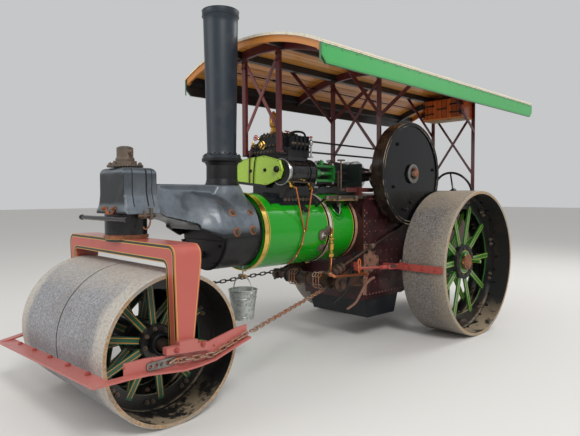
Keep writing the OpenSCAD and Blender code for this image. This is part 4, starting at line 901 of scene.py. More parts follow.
def neckBracket():
    # Small bracket with two clamp studs, on the neck's near lower edge
    iron = Shape("neck_bracket", "agedIron")
    iron.slab((3445, 205, 1352), (3525, 232, 1398), 4)
    iron.slab((3455, 225, 1345), (3475, 262, 1430), 3)
    iron.slab((3505, 222, 1362), (3522, 256, 1412), 3)
    iron.rod((3440, 244, 1375), (3545, 244, 1375), 9, sides=14)
    for x in (3440, 3545):
        iron.nut((x, 244, 1375), (1 if x > 3500 else -1, 0, 0), 22, 14)
    hook = Shape("neck_hook", "rustyIron")
    hook.tube(smoothLine([(3470, 245, 1352), (3476, 250, 1318), (3494, 250, 1286), (3515, 245, 1279),
                          (3525, 240, 1296)]), 6, 10)


def pivotCap():
    nuts = Shape("pivot_cap_bolts", "agedIron", "front_fork")
    grease = Shape("pivot_thrust_ring", "rustyIron", "front_fork")
    for at in around((pivotX, 0, headTop + 22), upwards, 108, 6, 20):
        nuts.nut(at, upwards, 26, 16)
    nuts.turned([(0, 60), (0, 66), (12, 69), (24, 66), (24, 60)], (pivotX, 0, headTop + 52), upwards, 40)
    nuts.turned([(0, 0), (0, 52), (6, 50), (12, 30), (12, 0)], (pivotX, 0, headTop + 150), upwards, 32)
    # Ring under the head, and the thrust ring on top of the fork
    grease.turned([(0, 151), (0, 160), (20, 163), (26, 151)], (pivotX, 0, 1206), upwards, 64)
    boss = Shape("pivot_boss_sleeve", "glossBlack", "front_fork")
    boss.turned([(0, 150.5), (0, 152.5), (149, 152.5), (149, 150.5)], (pivotX, 0, 1234), upwards, 64)


def chimneyTrim():
    studs = Shape("chimney_foot_studs", "castBlack")
    base = spot(chimneyX, 0, 1832)
    for at in around(base + Vector((0, 0, 22)), upwards, 148, 12, 15):
        studs.nut(at, upwards, 20, 13)
    for at in around(base + Vector((0, 0, 43)), upwards, 128.5, 18, 5):
        studs.rivet(at, (at - base) * Vector((1, 1, 0)), 7)
    # Seam down the chimney's rear and the plain top band
    seam = Shape("chimney_seam", "chimneyPaint")
    seam.bar((chimneyX - 123.5, 0, 1900), (chimneyX - 148.5, 0, 3015), 4, 30, 1.2)
    for k in range(24):
        z = 1930 + k * 46.5
        seam.rivet((chimneyX - 125.5 - (z - 1900) * 0.0224, 0, z), (-1, 0, 0.02), 6)
    band = Shape("chimney_band_beads", "chimneyPaint")
    for z in (3030, 3076):
        band.hoop((chimneyX, 0, z), upwards, 155.5, 3.2, 8, 72)


def smokeboxTrim():
    studs = Shape("smokebox_rivets", "smokeBlack")
    for k in range(19):
        out = ray(180 + k * 10)
        for x in frontEnd["rivetRows"]:
            studs.rivet(spot(x, 0, boilerZ) + out * frontEnd["smokeboxR"], out, 8.5)
    # Edge round the smokebox's mouth, and the door's dart, bar and bolts
    seam = Shape("smokebox_seam", "castBlack")
    mouth = spot(frontEnd["mouth"], 0, boilerZ)
    seam.tube([mouth + ray(180 + k * 6) * (frontEnd["smokeboxR"] + 0.5) for k in range(31)], 4.5, 8)
    door = Shape("smokebox_door_fittings", "castBlack", "smokebox_door")
    face = frontEnd["doorFace"]
    centre = spot(face, 0, frontEnd["dartZ"])
    door.turned([(0, 0), (0, 30), (12, 28), (20, 14), (50, 12), (50, 0)], centre, forwards, 24)
    door.bar(centre + Vector((45, -70, 0)), centre + Vector((45, 70, 0)), 14, 10)
    for side in both:
        for y, z in frontEnd["doorNuts"]:
            door.nut((face, side * y, z), forwards, 20, 12)


saddleBolts()
lampBar()
neckBracket()
pivotCap()
chimneyTrim()
smokeboxTrim()
endStage("front end")

# Engine: cylinders, chest, drain cocks and what stands on them

cylinderAt = ((215, 1728, 120), (-235, 1738, 116))
coverEdge = [(-386, 1659), (-408, 1690), (-408, 1747), (-307, 1858), (26, 1880), (226, 1833),
             (262, 1742), (226, 1668), (51, 1614)]
engineFacts = {"coverX": 2170.3, "chestFront": 2100, "trunkFront": 2080, "claddingR": 342.5}


def onBoiler(x, angle, rise=0):
    # A place on the boiler's cladding, angle up from the near side
    return spot(x, 0, boilerZ) + ray(angle) * (engineFacts["claddingR"] + rise), ray(angle)


def seated(at, out):
    # Lays a form on the boiler there, its x along the machine
    return Matrix.Translation(at) @ out.to_track_quat("Z", "X").to_matrix().to_4x4()


def cylinderCover():
    bead = Shape("cover_edge", "limePaint")
    studs = Shape("cover_studs", "castBlack")
    dark = Shape("cover_rod", "castBlack")
    pipe = Shape("cover_pipe", "maroonPaint")
    x = engineFacts["coverX"]
    edge = rounded([(x, y, z) for y, z in coverEdge + coverEdge[:1]], 20)
    bead.tube(edge[:-1], 3.5, 6, closed=True)
    for y, z in ((33, 1750), (-168, 1748)):
        studs.nut((x, y, z), forwards, 24, 13)
    for k in range(len(coverEdge)):
        y, z = [(a * 0.93 + b * 0.07) for a, b in zip(coverEdge[k], (-80, 1750))]
        studs.rivet((x, y, z), forwards, 5.5)
    dark.tube(smoothLine([(2150, -70, 1905), (2179, -88, 1866), (2178, -108, 1790), (2180, -121, 1664),
                          (2175, -122, 1630)]), 5.5, 10)
    dark.turned([(0, 0), (0, 28), (10, 30), (22, 26), (30, 16), (30, 0)], (x, 196, 1752), forwards, 28)
    pipe.tube(smoothLine([(2112, -205, 1985), (2150, -175, 1958), (2180, -166, 1915), (2178, -178, 1800),
                          (2179, -182, 1665), (2172, -184, 1628)]), 6, 10)


def cylinderFittings():
    bright = Shape("cylinder_bright_rings", "brightSteel")
    black = Shape("cylinder_flanges", "castBlack")
    bands = Shape("cylinder_lagging_bands", "smokeBlack")
    for y, z, r in cylinderAt:
        # Polished ring behind the cover, flange and studs at the rear
        bright.turned([(0, r - 6), (0, r + 2), (4, r + 4), (30, r + 4), (34, r + 1), (34, r - 6)],
                      (2110.5, y, z), forwards, 64)
        black.turned([(0, 62), (0, r - 4), (6, r + 4), (20, r + 4), (22, r - 4), (22, 62)], (1779, y, z),
                     forwards, 56)
        for at in around((1779, y, z), forwards, r * 0.83, 10, 18):
            bright.nut(at, (-1, 0, 0), 22, 15)
        for x in (1895, 2075):
            bands.turned([(0, r - 1), (0, r + 1.8), (16, r + 1.8), (16, r - 1)], (x, y, z), forwards, 64)
            side = 1 if y > 0 else -1
            bands.block((22, 12, 10), Matrix.Translation(spot(x + 8, y + side * (r + 4), z - 20)), 2)
        for k in range(12):
            out = ray((-40 if y > 0 else -10) + k * 22)
            bands.rivet(spot(1861, y, z) + out * (r + 8), out, 5.5)
    foot = Shape("cylinder_foot_flange", "castBlack")
    nuts = Shape("cylinder_foot_nuts", "agedIron")
    for side in both:
        angle = 90 - 36 * side
        at, out = onBoiler(1940, angle, 4.5)
        foot.block((375, 62, 14), seated(at, out), 3)
        for k in range(8):
            at, out = onBoiler(1775 + k * 46.5, angle - 2.5 * side, 11.5)
            nuts.nut(at, out, 24, 18)


def drainCocks():
    cocks = Shape("drain_cocks", "brass")
    handles = Shape("drain_cock_lever", "darkIron")
    for low, high, out in (((2100, 284, 1629.5), (2100, 301.5, 1604.5), (2086, 352, 1580)),
                           ((1858, 288.6, 1622.9), (1858, 303.8, 1601.2), (1880, 352, 1560))):
        low, high, out = spot(*low), spot(*high), spot(*out)
        axis = (high - low).normalized()
        cocks.turned([(0, 0), (0, 21), (9, 22), (10, 14), (30, 13.5), (34, 18), (50, 19), (54, 13), (60, 13),
                      (60, 0)], low - axis * 6, axis, 22)
        along = (out - high).normalized()
        cocks.rod(high + along * 12, high + along * 34, 15.5, 15.5, 6)
        cocks.ball(high + along * 6, 15, sides=16)
        cocks.rod(out - along * 20, out - along * 2, 13.5, 13.5, 6)
        # Spindle and the flat lever that joins both cocks
        handles.rod(low + axis * 26, low + axis * 26 + Vector((0, 30, 20)), 7, sides=12)
        handles.ball(low + axis * 26 + Vector((0, 32, 22)), 10.5, sides=14)
    handles.bar((1870, 331, 1632), (2112, 327, 1640), 4, 13)
    clips = Shape("drain_pipe_clips", "brass")
    for x, y, z in ((1992, 363.5, 1196), (2002, 341.6, 1071.7), (2012, 278.5, 962.3)):
        centre = spot(x, y, z)
        clips.hoop(centre, (0.05, 0, 1) if z > 1100 else (0.05, -0.5, 0.8), 10.5, 3, 8, 24)


def chestFittings():
    black = Shape("chest_covers", "castBlack")
    nuts = Shape("chest_nuts", "agedIron")
    brass = Shape("chest_brass", "brass")
    red = Shape("tap_wheels", "redPaint")
    steel = Shape("lubricator", "brightSteel")
    front, trunk = engineFacts["chestFront"], engineFacts["trunkFront"]
    # Cover plates on the chest's front and on its sloped end, each with its ring of nuts
    black.plate([(-285, 1900), (200, 1900), (205, 1942), (-285, 1942)], 8, frontPlane(front - 0.5))
    for k in range(11):
        nuts.nut((front + 7.5, -268 + k * 46, 1921), forwards, 19, 12)
    trunkEdge = [(-262, 1972), (-150, 2012), (-118, 2076), (160, 2076), (188, 2040), (188, 1972)]
    black.plate(trunkEdge, 10, frontPlane(trunk - 0.5))
    for (y, z), (v, w) in zip(trunkEdge, trunkEdge[1:] + trunkEdge[:1]):
        count = max(1, round(math.dist((y, z), (v, w)) / 58))
        for k in range(count):
            t = k / count
            a, b = (y + (v - y) * t - 15) * 0.93 + 15, (z + (w - z) * t - 2020) * 0.86 + 2020
            nuts.nut((trunk + 9.5, a, b), forwards, 18, 12)
    # Brass valve-rod boss: oval flange, gland and two studs
    brass.turned([(0, 0), (0, 42), (10, 42), (14, 30), (30, 26), (34, 12), (44, 10), (44, 0)],
                 (trunk + 9, -85, 1990), forwards, 32)
    for side in both:
        nuts.nut((trunk + 18, -85 + side * 34, 1990), forwards, 14, 10)
    # Small taps with hand wheels
    for x, y, z, r, out in ((2118, -155, 2062, 26, (1, 0, 0.15)), (1960, 115, 2112, 24, (0, 0.35, 1)),
                            (1935, -60, 2118, 22, upwards)):
        at, out = spot(x, y, z), Vector(out).normalized()
        red.hoop(at, out, r, 4.2, 8, 30)
        side = out.orthogonal().normalized()
        for k in range(3):
            spoke = Quaternion(out, math.radians(k * 60)) @ side * r
            red.rod(at - spoke, at + spoke, 2.8, sides=8)
        brass.rod(at - out * 55, at + out * 6, 6, sides=12)
        brass.turned([(0, 0), (0, 13), (10, 14), (18, 9), (18, 0)], at - out * 40, out, 18)
    brass.tube(smoothLine([(2085, -205, 1992), (2118, -205, 1994), (2134, -190, 1972)]), 9, 12)
    brass.turned([(0, 0), (0, 16), (12, 17), (16, 10), (34, 10), (38, 14), (50, 12), (50, 0)],
                 (2108, -205, 1975), upwards, 18)
    # Arched regulator lever and the lubricator on its stand
    black.tube(smoothLine([(2030, 195, 2050), (1992, 206, 2090), (1930, 220, 2104), (1868, 236, 2094),
                           (1846, 246, 2050)]), lambda t: 13 - 4 * t, 12)
    steel.turned([(0, 0), (0, 18), (10, 18), (14, 9), (110, 8), (116, 15), (140, 19), (158, 15), (164, 9),
                  (185, 9), (185, 0)], (1848, 312, 1862), upwards, 22)
    red.turned([(0, 0), (0, 14), (8, 16), (16, 10), (16, 0)], (1848, 312, 2044), upwards, 18)
    steel.bar((1848, 286, 1958), (1848, 318, 1958), 20, 8)
    # Bolts on the ribbed cover and the lugs
    for k in range(5):
        nuts.nut((1886 + k * 52 - 26 * (k == 4), 292.5, 1985), (0, 1, 0), 18, 11)
    for side in both:
        for x in (2125, 2180):
            nuts.nut((x, side * 222, 1901), upwards, 20, 13)
    for k in range(6):
        for x in (1905, 2058):
            nuts.nut((x, -100 + k * 48, 2090), upwards, 20, 13)


def valveGear():
    steel = Shape("motion_bright_parts", "brightSteel")
    dark = Shape("valve_gear", "darkIron")
    green = Shape("motion_green_parts", "motionGreen")
    red = Shape("eccentric_straps", "maroonPaint")
    brown = Shape("reversing_rod", "agedIron")
    for y, z, r in cylinderAt:
        # Polished rod, gland, oil cups and the crosshead's nuts
        steel.turned([(0, 20.2), (0, 21.5), (150, 21.5), (150, 20.2)], (1585, y, z), forwards, 32)
        steel.turned([(0, 45), (0, 52), (10, 54), (16, 45)], (1722, y, z), forwards, 32)
        green.turned([(0, 0), (0, 20), (16, 24), (40, 24), (44, 12), (52, 10), (52, 0)], (1600, y, z + 80),
                     upwards, 22)
        dark.turned([(0, 0), (0, 16), (12, 20), (30, 20), (34, 10), (40, 0)], (1470, y, z + 81), upwards, 20)
        for x in (1430, 1680):
            for end in (-1, 1):
                steel.nut((x, y, z + 82 * end), upwards * end, 22, 16)
        green.turned([(0, 21), (0, 38), (6, 40), (50, 34), (72, 26), (74, 21)], (1640, y, z), forwards, 32)
    # Link motion: curved links with their pins, the eccentric rods and straps
    for y in (-90, 75):
        arc = [(1300 + 35 * clock(k).z, y, 1735 + 135 * clock(k).x) for k in range(-75, 76, 15)]
        dark.tube(arc, 13, 10)
        dark.bar((1335, y, 1735), (1780, y + 20, 1745), 16, 28)
        for z, rearZ in ((1855, 1790), (1615, 1690)):
            dark.bar((1315, y, z), (655, y, rearZ), 18, 30)
        for z in (1605, 1735, 1865):
            steel.rod((1325, y - 26, z), (1325, y + 26, z), 14, sides=16)
        red.turned([(0, 40), (0, 72), (12, 75), (34, 75), (46, 72), (46, 40)], (crankX, y - 23, crankZ),
                   (0, 1, 0), 36)
    brown.rod((1403, 300, 1575), (1403, 300, 1852), 8, sides=14)
    brown.rod((1450, 300, 1858), (1350, 300, 1862), 9, sides=14)
    brown.slab((1385, 285, 1560), (1421, 345, 1578), 3)
    red.ball((1448, 300, 1740), 14, sides=16)
    dark.bar((1448, 300, 1578), (1448, 300, 1728), 12, 20)
    dark.slab((1370, 262, 1556), (1470, 345, 1568), 3)


def arcSheet(shape, x0, x1, r0, r1, first, last, steps=14):
    # A curved sheet on the boiler, between two angles counted up from the near side
    centre = spot(0, 0, boilerZ)
    section = ((x0, r0), (x1, r0), (x1, r1), (x0, r1))
    verts = [shape.form.verts.new(centre + forwards * x + ray(first) * r) for x, r in section]
    face = shape.form.faces.new(verts)
    geom = verts + list(face.edges) + [face]
    bmesh.ops.spin(shape.form, geom=geom, cent=centre, axis=forwards, dvec=(0, 0, 0),
                   angle=math.radians(last - first), steps=steps, use_merge=False, use_duplicate=False)


def boilerFittings():
    lag = Shape("boiler_top_sheet", "ashBlue")
    dark = Shape("boiler_dark_fittings", "castBlack")
    steel = Shape("boiler_steel_fittings", "brightSteel")
    brass = Shape("boiler_brass_fittings", "brass")
    brown = Shape("boiler_iron_fittings", "agedIron")
    wood = Shape("platform_plank", "plankWood")
    # Blued sheets over the boiler, round the cylinders
    arcSheet(lag, 2118, 2300, 343.2, 346.2, 46, 134)
    arcSheet(lag, 1640, 1752, 343.2, 346.2, 46, 134)
    arcSheet(lag, 1700, 2180, 343.4, 346.6, 42, 58)
    for k in range(7):
        at, out = onBoiler(1655 + k * 107, 44, 4)
        dark.rivet(at, out, 6)
    # Hand hole: oval joint ring, bridge and nut
    at, out = onBoiler(1463, 34.7)
    turn = seated(at, out)
    ring = Shape("hand_hole_rim", "boilerGreen")
    oval = [(86 * clock(9 * k).z, 60 * clock(9 * k).x) for k in range(40)]
    dark.plate(oval, 10, turn)
    ring.tube([turn @ Vector((x * 1.04, y * 1.04, 8)) for x, y in oval], 6.5, 10, closed=True)
    ring.tube([turn @ Vector((x * 1.42, y * 1.55, -12 + 8 * abs(x / 86))) for x, y in oval], 4, 8,
              closed=True)
    bridge = ((-70, 8), (-45, 36), (0, 46), (45, 36), (70, 8))
    steel.tube(smoothLine([turn @ spot(x, 0, rise) for x, rise in bridge]), 8.5, 10)
    steel.nut(turn @ Vector((0, 0, 48)), out, 34, 22)
    # Washout plug by the second band
    at, out = onBoiler(1722, -9)
    brown.turned([(0, 30), (0, 52), (6, 55), (14, 52), (18, 30)], at, out, 36)
    steel.turned([(0, 0), (0, 31), (12, 30), (16, 22), (16, 0)], at, out, 28)
    steel.rod(at + out * 14, at + out * 34, 12.5, 12.5, 4)
    # Clack valve: oval flange on the boiler, body, bonnet and the union of the feed pipe
    top, low = spot(1645, 384, 1158), spot(1649, 384, 928)
    way = (top - low).normalized()
    at, out = onBoiler(1645, -2.5)
    brown.turned([(0, 0), (0, 44), (10, 45), (13, 26), (30, 22), (30, 0)], at, out, 32)
    brass.turned([(0, 0), (0, 17), (10, 23), (34, 23), (40, 17), (68, 17), (74, 27), (128, 29), (136, 21),
                  (160, 20), (166, 26), (186, 26), (192, 15), (214, 14), (222, 9), (222, 0)], low, way, 28)
    brass.rod(low + way * 12, low + way * 34, 26.5, 26.5, 6)
    brass.rod(low + way * 168, low + way * 186, 28.5, 28.5, 6)
    brass.nut((1250, 438, 734.5), (0, 1, 0), 30, 14)
    at, out = onBoiler(1698, -31)
    brown.turned([(0, 0), (0, 42), (8, 44), (12, 24), (22, 20), (22, 0)], at, out, 30)
    for k in range(4):
        spoke = Quaternion(out, math.radians(45 + 90 * k)) @ Vector((32, 0, 0))
        steel.nut(at + spoke + out * 8, out, 14, 10)
    # Platform: angle bar from the hornplate to the cylinders, brackets and the plank
    for side in both:
        brown.bar((1175, side * 392, 1497), (1755, side * 392, 1497), 12, 30, 2)
        brown.bar((1175, side * 404, 1508), (1755, side * 404, 1508), 34, 6, 2)
        for x in (1300, 1560, 1735):
            foot, out = onBoiler(x, 90 - 51 * side)
            dark.bar(foot - out * 4, (x, side * 392, 1487), 30, 12, 2)
            steel.nut((x, side * 408, 1497), (0, side, 0), 20, 12)
    for k in range(2):
        wood.slab((1232, 262 + k * 62, 1461.5), (1612, 320 + k * 62, 1483.5), 4)
    bearers = Shape("plank_bearers", "castBlack")
    for x in (1260, 1540):
        bearers.slab((x, 245, 1444), (x + 30, 390, 1461.2), 3)
    # Screws that draw the boiler bands together, under the boiler
    for x in (2428, 1606, 1216):
        at, out = onBoiler(x, -84, 8)
        brass.block((30, 34, 16), seated(at, out), 3)
        steel.rod(at - Vector((0, 30, 0)), at + Vector((0, 30, 0)), 5, sides=10)


cylinderCover()
cylinderFittings()
drainCocks()
chestFittings()
valveGear()
boilerFittings()
for node, name, sharp in (("safety_valve", "safety_valve_turned", 40),
                          ("drain_pipes", "drain_pipes_bent", 60), ("feed_pipe", "feed_pipe_bent", 60)):
    smoothCopy(node, name, sharp)
endStage("engine")

# Chains, drum, steering shaft

chainFacts = {
    "pitch": 52, "wire": 5.8, "halfWidth": 14, "droop": 85, "droopStart": 3570, "droopEnd": 4190,
    "y": 839.3,
    "onBar": [(-481, 556), (-350, 514), (-190, 466), (75, 486)],
    "leftRear": [(3035, 839.3, 560), (1590, 250, 602.1)],
    "rightRear": [(3035, -839.3, 560), (1590, -180, 767.9)],
    "drumX": 1590, "drumZ": 685, "drumR": 62,
}


def sunk(x, side):
    # How far the scraper frame hangs down at x, on the right-hand side
    facts = chainFacts
    reach = max(0, x - facts["droopStart"]) / (facts["droopEnd"] - facts["droopStart"])
    return 0 if side > 0 else facts["droop"] * reach ** 1.4


def linkMesh(pitch):
    # One round-wire link, lying flat, longer than it is wide
    link = Shape()
    straight, half = pitch / 2 + 6 - chainFacts["halfWidth"], chainFacts["halfWidth"]
    points = []
    for end in both:
        for k in range(7):
            a = math.radians(-90 + 30 * k)
            points.append((end * (straight + half * math.cos(a)), end * half * math.sin(a), 0))
    link.tube(points, chainFacts["wire"], 8, closed=True)
    mesh = bpy.data.meshes.new("link")
    link.form.to_mesh(mesh)
    link.form.free()
    return mesh


def chainRun(shape, points):
    points = [spot(*p) for p in points]
    counts = [round((b - a).length / chainFacts["pitch"]) for a, b in zip(points, points[1:])]
    for k, (a, b) in enumerate(zip(points, points[1:])):
        pitch = (b - a).length / counts[k]
        mesh = linkMesh(pitch)
        flat = (b - a).normalized()
        side = Vector((-flat.y, flat.x, 0)).normalized()
        basis = Matrix((flat, side, flat.cross(side))).transposed().to_4x4()
        for i in range(counts[k]):
            upright = (sum(counts[k:]) - i) % 2 == 1
            place = Matrix.Translation(a + flat * (i + 0.5) * pitch) @ basis
            place = place @ Matrix.Rotation(math.radians(90 if upright else 0), 4, "X")
            copy = mesh.copy()
            copy.transform(place)
            shape.form.from_mesh(copy)
            bpy.data.meshes.remove(copy)
        bpy.data.meshes.remove(mesh)


def chains():
    for side, name, rear in ((1, "left", "leftRear"), (-1, "right", "rightRear")):
        # The near chain is pale rust and the far chain dark iron: painted light and painted shade on two like
        # chains
        finish = "chainRustLit" if side > 0 else "darkIron"
        chain = Shape("chain_links_" + name, finish, sharp=60, replaces=("chain_%s_rear" % name,))
        chainRun(chain, chainFacts[rear])
        front = Shape("chain_hook_" + name, finish, "front_fork", 60)
        plate = Shape("adjusting_plate_" + name, "wornSteel", "front_fork",
                      replaces=("chain_%s_front" % name,))
        y = side * chainFacts["y"]
        places = [(frontAxleX + x, z) for x, z in chainFacts["onBar"]]
        chainRun(front, [(x, y, z - sunk(x, side)) for x, z in places])
        # Hook between the last link and the adjusting plate, on the side bar's flange
        hookX, hookZ = frontAxleX + 64, 488 - sunk(frontAxleX + 80, side)
        front.tube(smoothLine([(hookX - 12, y, hookZ), (hookX + 14, y, hookZ + 12),
                               (hookX + 50, y, hookZ + 6), (hookX + 76, y, hookZ - 6),
                               (hookX + 50, y - side * 10, hookZ - 14),
                               (hookX + 10, y - side * 4, hookZ - 10)]), 7.5, 10)
        outline = []
        for x, first in ((frontAxleX + 277, -90), (frontAxleX + 101, 90)):
            for k in range(9):
                way = clock(first + 22.5 * k)
                outline.append((x + 14 * way.z, 488 - sunk(x, side) + 26 * way.x))
        places = [frontAxleX + 111 + k * 39 for k in range(5)]
        holes = [(x, 488 - sunk(x, side), 10.5) for x in places]
        at = side * 819.3
        plate.plate(outline, 10, sidePlane(at, side), holes)
        for x, z, r in holes:
            plate.hoop((x, at + side * 10, z), (0, 1, 0), r + 2, 2, 8, 24)
        for k in (0, 2):
            x, z, r = holes[k]
            plate.nut((x, at + side * 9, z), (0, side, 0), 16, 12, 1.1)


def drumAndShaft():
    coils = Shape("drum_chain_coils", "chainRustLit", sharp=60)
    plain = Shape("steering_brackets", "agedIron")
    worm = Shape("steering_worm", "wornSteel", sharp=60)
    x, z, r = chainFacts["drumX"], chainFacts["drumZ"], chainFacts["drumR"]
    # Turns of chain lying round the drum: short links, a quarter turned one after the other
    for first, turns, way in ((246, 2.6, -1), (-176, 2.6, 1)):
        count = int(turns * 8)
        for k in range(count):
            y = first + way * 36 * k / 8
            at = spot(x, y, z) + clock(180 - 45 * k) * (r + 12.5 + (4 if k % 2 else 0))
            ahead = clock(90 - 45 * k)
            mesh = linkMesh(46)
            basis = Matrix((ahead, Vector((0, 1, 0)), ahead.cross(Vector((0, 1, 0))))).transposed().to_4x4()
            turn = Matrix.Rotation(math.radians(45 if k % 2 else -45), 4, "X")
            mesh.transform(Matrix.Translation(at) @ basis @ turn @ Matrix.Diagonal((0.94, 0.8, 0.8, 1)))
            coils.form.from_mesh(mesh)
            bpy.data.meshes.remove(mesh)
    for side in both:
        plain.turned([(0, 28), (0, 52), (8, 56), (40, 52), (44, 34), (44, 28)], (x, side * 412, z),
                     (0, side, 0), 32)
        for at in around((x, side * 410.5, z), (0, 1, 0), 66, 4, 45):
            plain.nut(at, (0, side, 0), 20, 14)
        for px, pz in ((1215, 660), (1215, 800), (1215, 730)):
            plain.nut((px, side * 410.5, pz), (0, side, 0), 24, 15)
    # Brackets of the worm shaft
    for px in (1100, 100):
        t = (1636 - px) / 2236
        at = spot(px, 445 - 26 * t, 813 + 737 * t)
        ahead = Vector((-2236, -26, 737)).normalized()
        plain.turned([(0, 12.5), (0, 24), (4, 26), (46, 26), (50, 24), (50, 12.5)], at, ahead, 28)
        plain.slab(at + Vector((-30, -32, -10)), at + Vector((4, -8, 30)), 3)
    # Worm: two fat rounded turns of a screw
    start, end = spot(1636, 445, 813), spot(-600, 419, 1550)
    way = (end - start).normalized()
    side = way.orthogonal().normalized()
    line = []
    for k in range(73):
        t = k / 72
        a = math.tau * 2.4 * t
        line.append(start + way * (-88 + 150 * t) + Quaternion(way, a) @ side * 27.5)
    worm.tube(line, lambda t: 18.5 * min(1, 12 * t + 0.45, 12 * (1 - t) + 0.45), 14)
    worm.rod(start - way * 112, start + way * 85, 21, sides=28)


chains()
drumAndShaft()

# Hornplates and the scraper linkage

hornFacts = {"y": 410.2, "gussetY": 418.2, "front": 1178}


def hornRivets():
    # Rivet and stay heads take the paler maroon as a painted highlight
    studs = Shape("hornplate_rivets", "rivetLitMaroon")
    stays = Shape("firebox_stay_heads", "rivetLitMaroon")
    strap = Shape("hornplate_strap", "gussetPaint")
    bolts = Shape("hornplate_bolts", "agedIron")
    for side in both:
        y = side * hornFacts["y"]
        for k in range(16):
            z = 560 + k * 53.5
            face = hornFacts["gussetY"] if side > 0 and 660 < z < 1050 else y
            studs.rivet((hornFacts["front"] - 12, face, z), (0, side, 0), 10.5)
            if k % 2 == 0 and z < 1360:
                studs.rivet((hornFacts["front"] - 48, face, z + 27), (0, side, 0), 10.5)
        for k in range(12):
            studs.rivet((1075 - k * 42, y, 1478), (0, side, 0), 9.5)
        for k in range(13):
            studs.rivet((1130 - k * 55, y, 500), (0, side, 0), 10.5)
        # Stay heads over the firebox
        for row in range(7):
            for col in range(6):
                stays.rivet((1080 - col * 98, y, 620 + row * 105), (0, side, 0), 7.5)
        for px, pz in ((1160, 1015), (1100, 972), (1030, 925), (965, 880), (965, 795), (1030, 765),
                       (1100, 735), (1160, 712), (1090, 860), (1135, 800)):
            bolts.nut((px, side * hornFacts["gussetY"], pz), (0, side, 0), 22, 14)
        # Nuts of the crank's bearing cap, on top of the horn
        for dx in (-78, 78):
            bolts.nut((crankX + dx, side * 393, 1809), upwards, 12, 18, 1.1)
    # Worn facing over the gusset and down the front edge; strap and black arms on the near side
    facing = Shape("gusset_facing", "gussetPaint")
    arms = Shape("hornplate_arms", "castBlack")
    for side in both:
        y = side * hornFacts["y"]
        facing.plate([(1189, 1034), (929, 855), (962, 761), (1189, 692)], 1.2,
                     sidePlane(side * hornFacts["gussetY"], side))
        facing.plate([(1189, 690), (1108, 712), (1140, 505), (1189, 505)], 4, sidePlane(y, side))
        arms.plate([(1130, 955), (1372, 955), (1372, 750), (1345, 750), (1345, 926), (1130, 926)], 10,
                   sidePlane(side * 419.4, side))
        for x in (1150, 1250, 1330):
            arms.nut((x, side * 429.4, 940), (0, side, 0), 18, 12)
    arms.tube(smoothLine([(1360, 426, 800), (1402, 432, 786), (1470, 440, 660), (1530, 440, 570),
                          (1686, 440, 504)]), 13, 10)
    strap.tube(smoothLine([(1016, 419.5, 667), (1090, 419.5, 650), (1168, 422.5, 607), (1250, 422.5, 520),
                           (1329, 422.5, 448), (1454, 422.5, 407)]), lambda t: 16 - 5 * t, 8)


def scraperLinks():
    red = Shape("scraper_links", "linkRed")
    steel = Shape("scraper_bolts", "wornSteel")
    dark = Shape("scraper_lug_caps", "castBlack")
    for side in both:
        # Fork end on the lug, turnbuckle, knuckle and the blade's edge bar
        a, b = spot(860, side * 560, 776), spot(1350, side * 450, 798)
        way = (b - a).normalized()
        red.turned([(0, 12), (0, 20), (12, 23), (60, 23), (72, 20), (72, 12)], a + way * 100, b - a, 24)
        red.rod(a + way * 176, a + way * 200, 22, 22, 6)
        for off in (20, 55):
            steel.nut(a + way * off + Vector((0, side * 12, 10)), (0, side, 0.3), 26, 18)
        red.bar(a - way * 10, a + way * 90, 34, 46, 6)
        red.rod(a + Vector((-22, side * 10, 18)), a + Vector((-22, side * 52, 18)), 17, sides=20)
        red.rod((822, side * 640, 812), (822, side * 470, 768), 16, sides=18)
        for y in (615, 660):
            steel.nut((824, side * y, 830), (0.2, 0, 1), 24, 16)
        for k in range(3):
            red.nut((800.5, side * (720 + 140 * k), 780), forwards, 22, 12)
        # Lug that the shackle hangs on
        dark.slab((1322, side * 411.5, 868), (1378, side * 472, 898), 4)
        steel.nut((1350, side * 470.5, 830), (0, side, 0), 26, 18)
    ring = [spot(1350 + 19 * clock(15 * k).z, 488, 855 + 36 * clock(15 * k).x) for k in range(24)]
    orange = Shape("shackle", "orangePaint")
    orange.tube(ring, 6.5, 8, closed=True)
    orange.tube([p + Vector((4, 12 * math.cos(k * 0.6), -62)) for k, p in enumerate(ring)], 6, 8, closed=True)


hornRivets()
scraperLinks()

# Flywheel and rolls: nuts, bolts, collars

flywheelFacts = {
    "face": 576, "hubFace": 595, "beadY": 587.5, "beads": ((535.5, 3.2), (504.5, 2.6)),
    "studs": ((833, 2037), (140, 1794), (583, 1441), (900, 1600)), "peg": (700, 1365),
}


def flywheelFittings():
    ring = Shape("flywheel_hub_ring", "wornSteel", "crank")
    rust = Shape("flywheel_hub_nut", "rustyIron", "crank")
    studs = Shape("flywheel_studs", "castBlack", "crank")
    x, y, z = crankX, flywheelFacts["hubFace"], crankZ
    ring.turned([(0, 60), (0, 100), (2, 101.5), (6, 100.5), (8, 93), (8, 60)], (x, y, z), (0, 1, 0), 48)
    edge = Shape("flywheel_worn_edges", "wheelEdge", "crank")
    for radius, wire in flywheelFacts["beads"]:
        edge.hoop((x, flywheelFacts["beadY"], z), (0, 1, 0), radius, wire, 8, 128)
    rust.rod((x, y + 3, z), (x, y + 45, z), 46, 43, 6)
    rust.turned([(0, 0), (0, 40), (8, 38), (14, 20), (14, 0)], (x, y + 35, z), (0, 1, 0), 28)
    rust.slab((x - 13, y + 5, z + 36), (x + 13, y + 39, z + 66), 3)
    face = flywheelFacts["face"]
    for px, pz in flywheelFacts["studs"]:
        studs.nut((px, face + 0.5, pz), (0, 1, 0), 30, 16, 1.2)
    px, pz = flywheelFacts["peg"]
    studs.rod((px, face, pz), (px, face + 29, pz), 16, 14, 20)
    studs.ball((px, face + 30, pz), 16.5, sides=16)


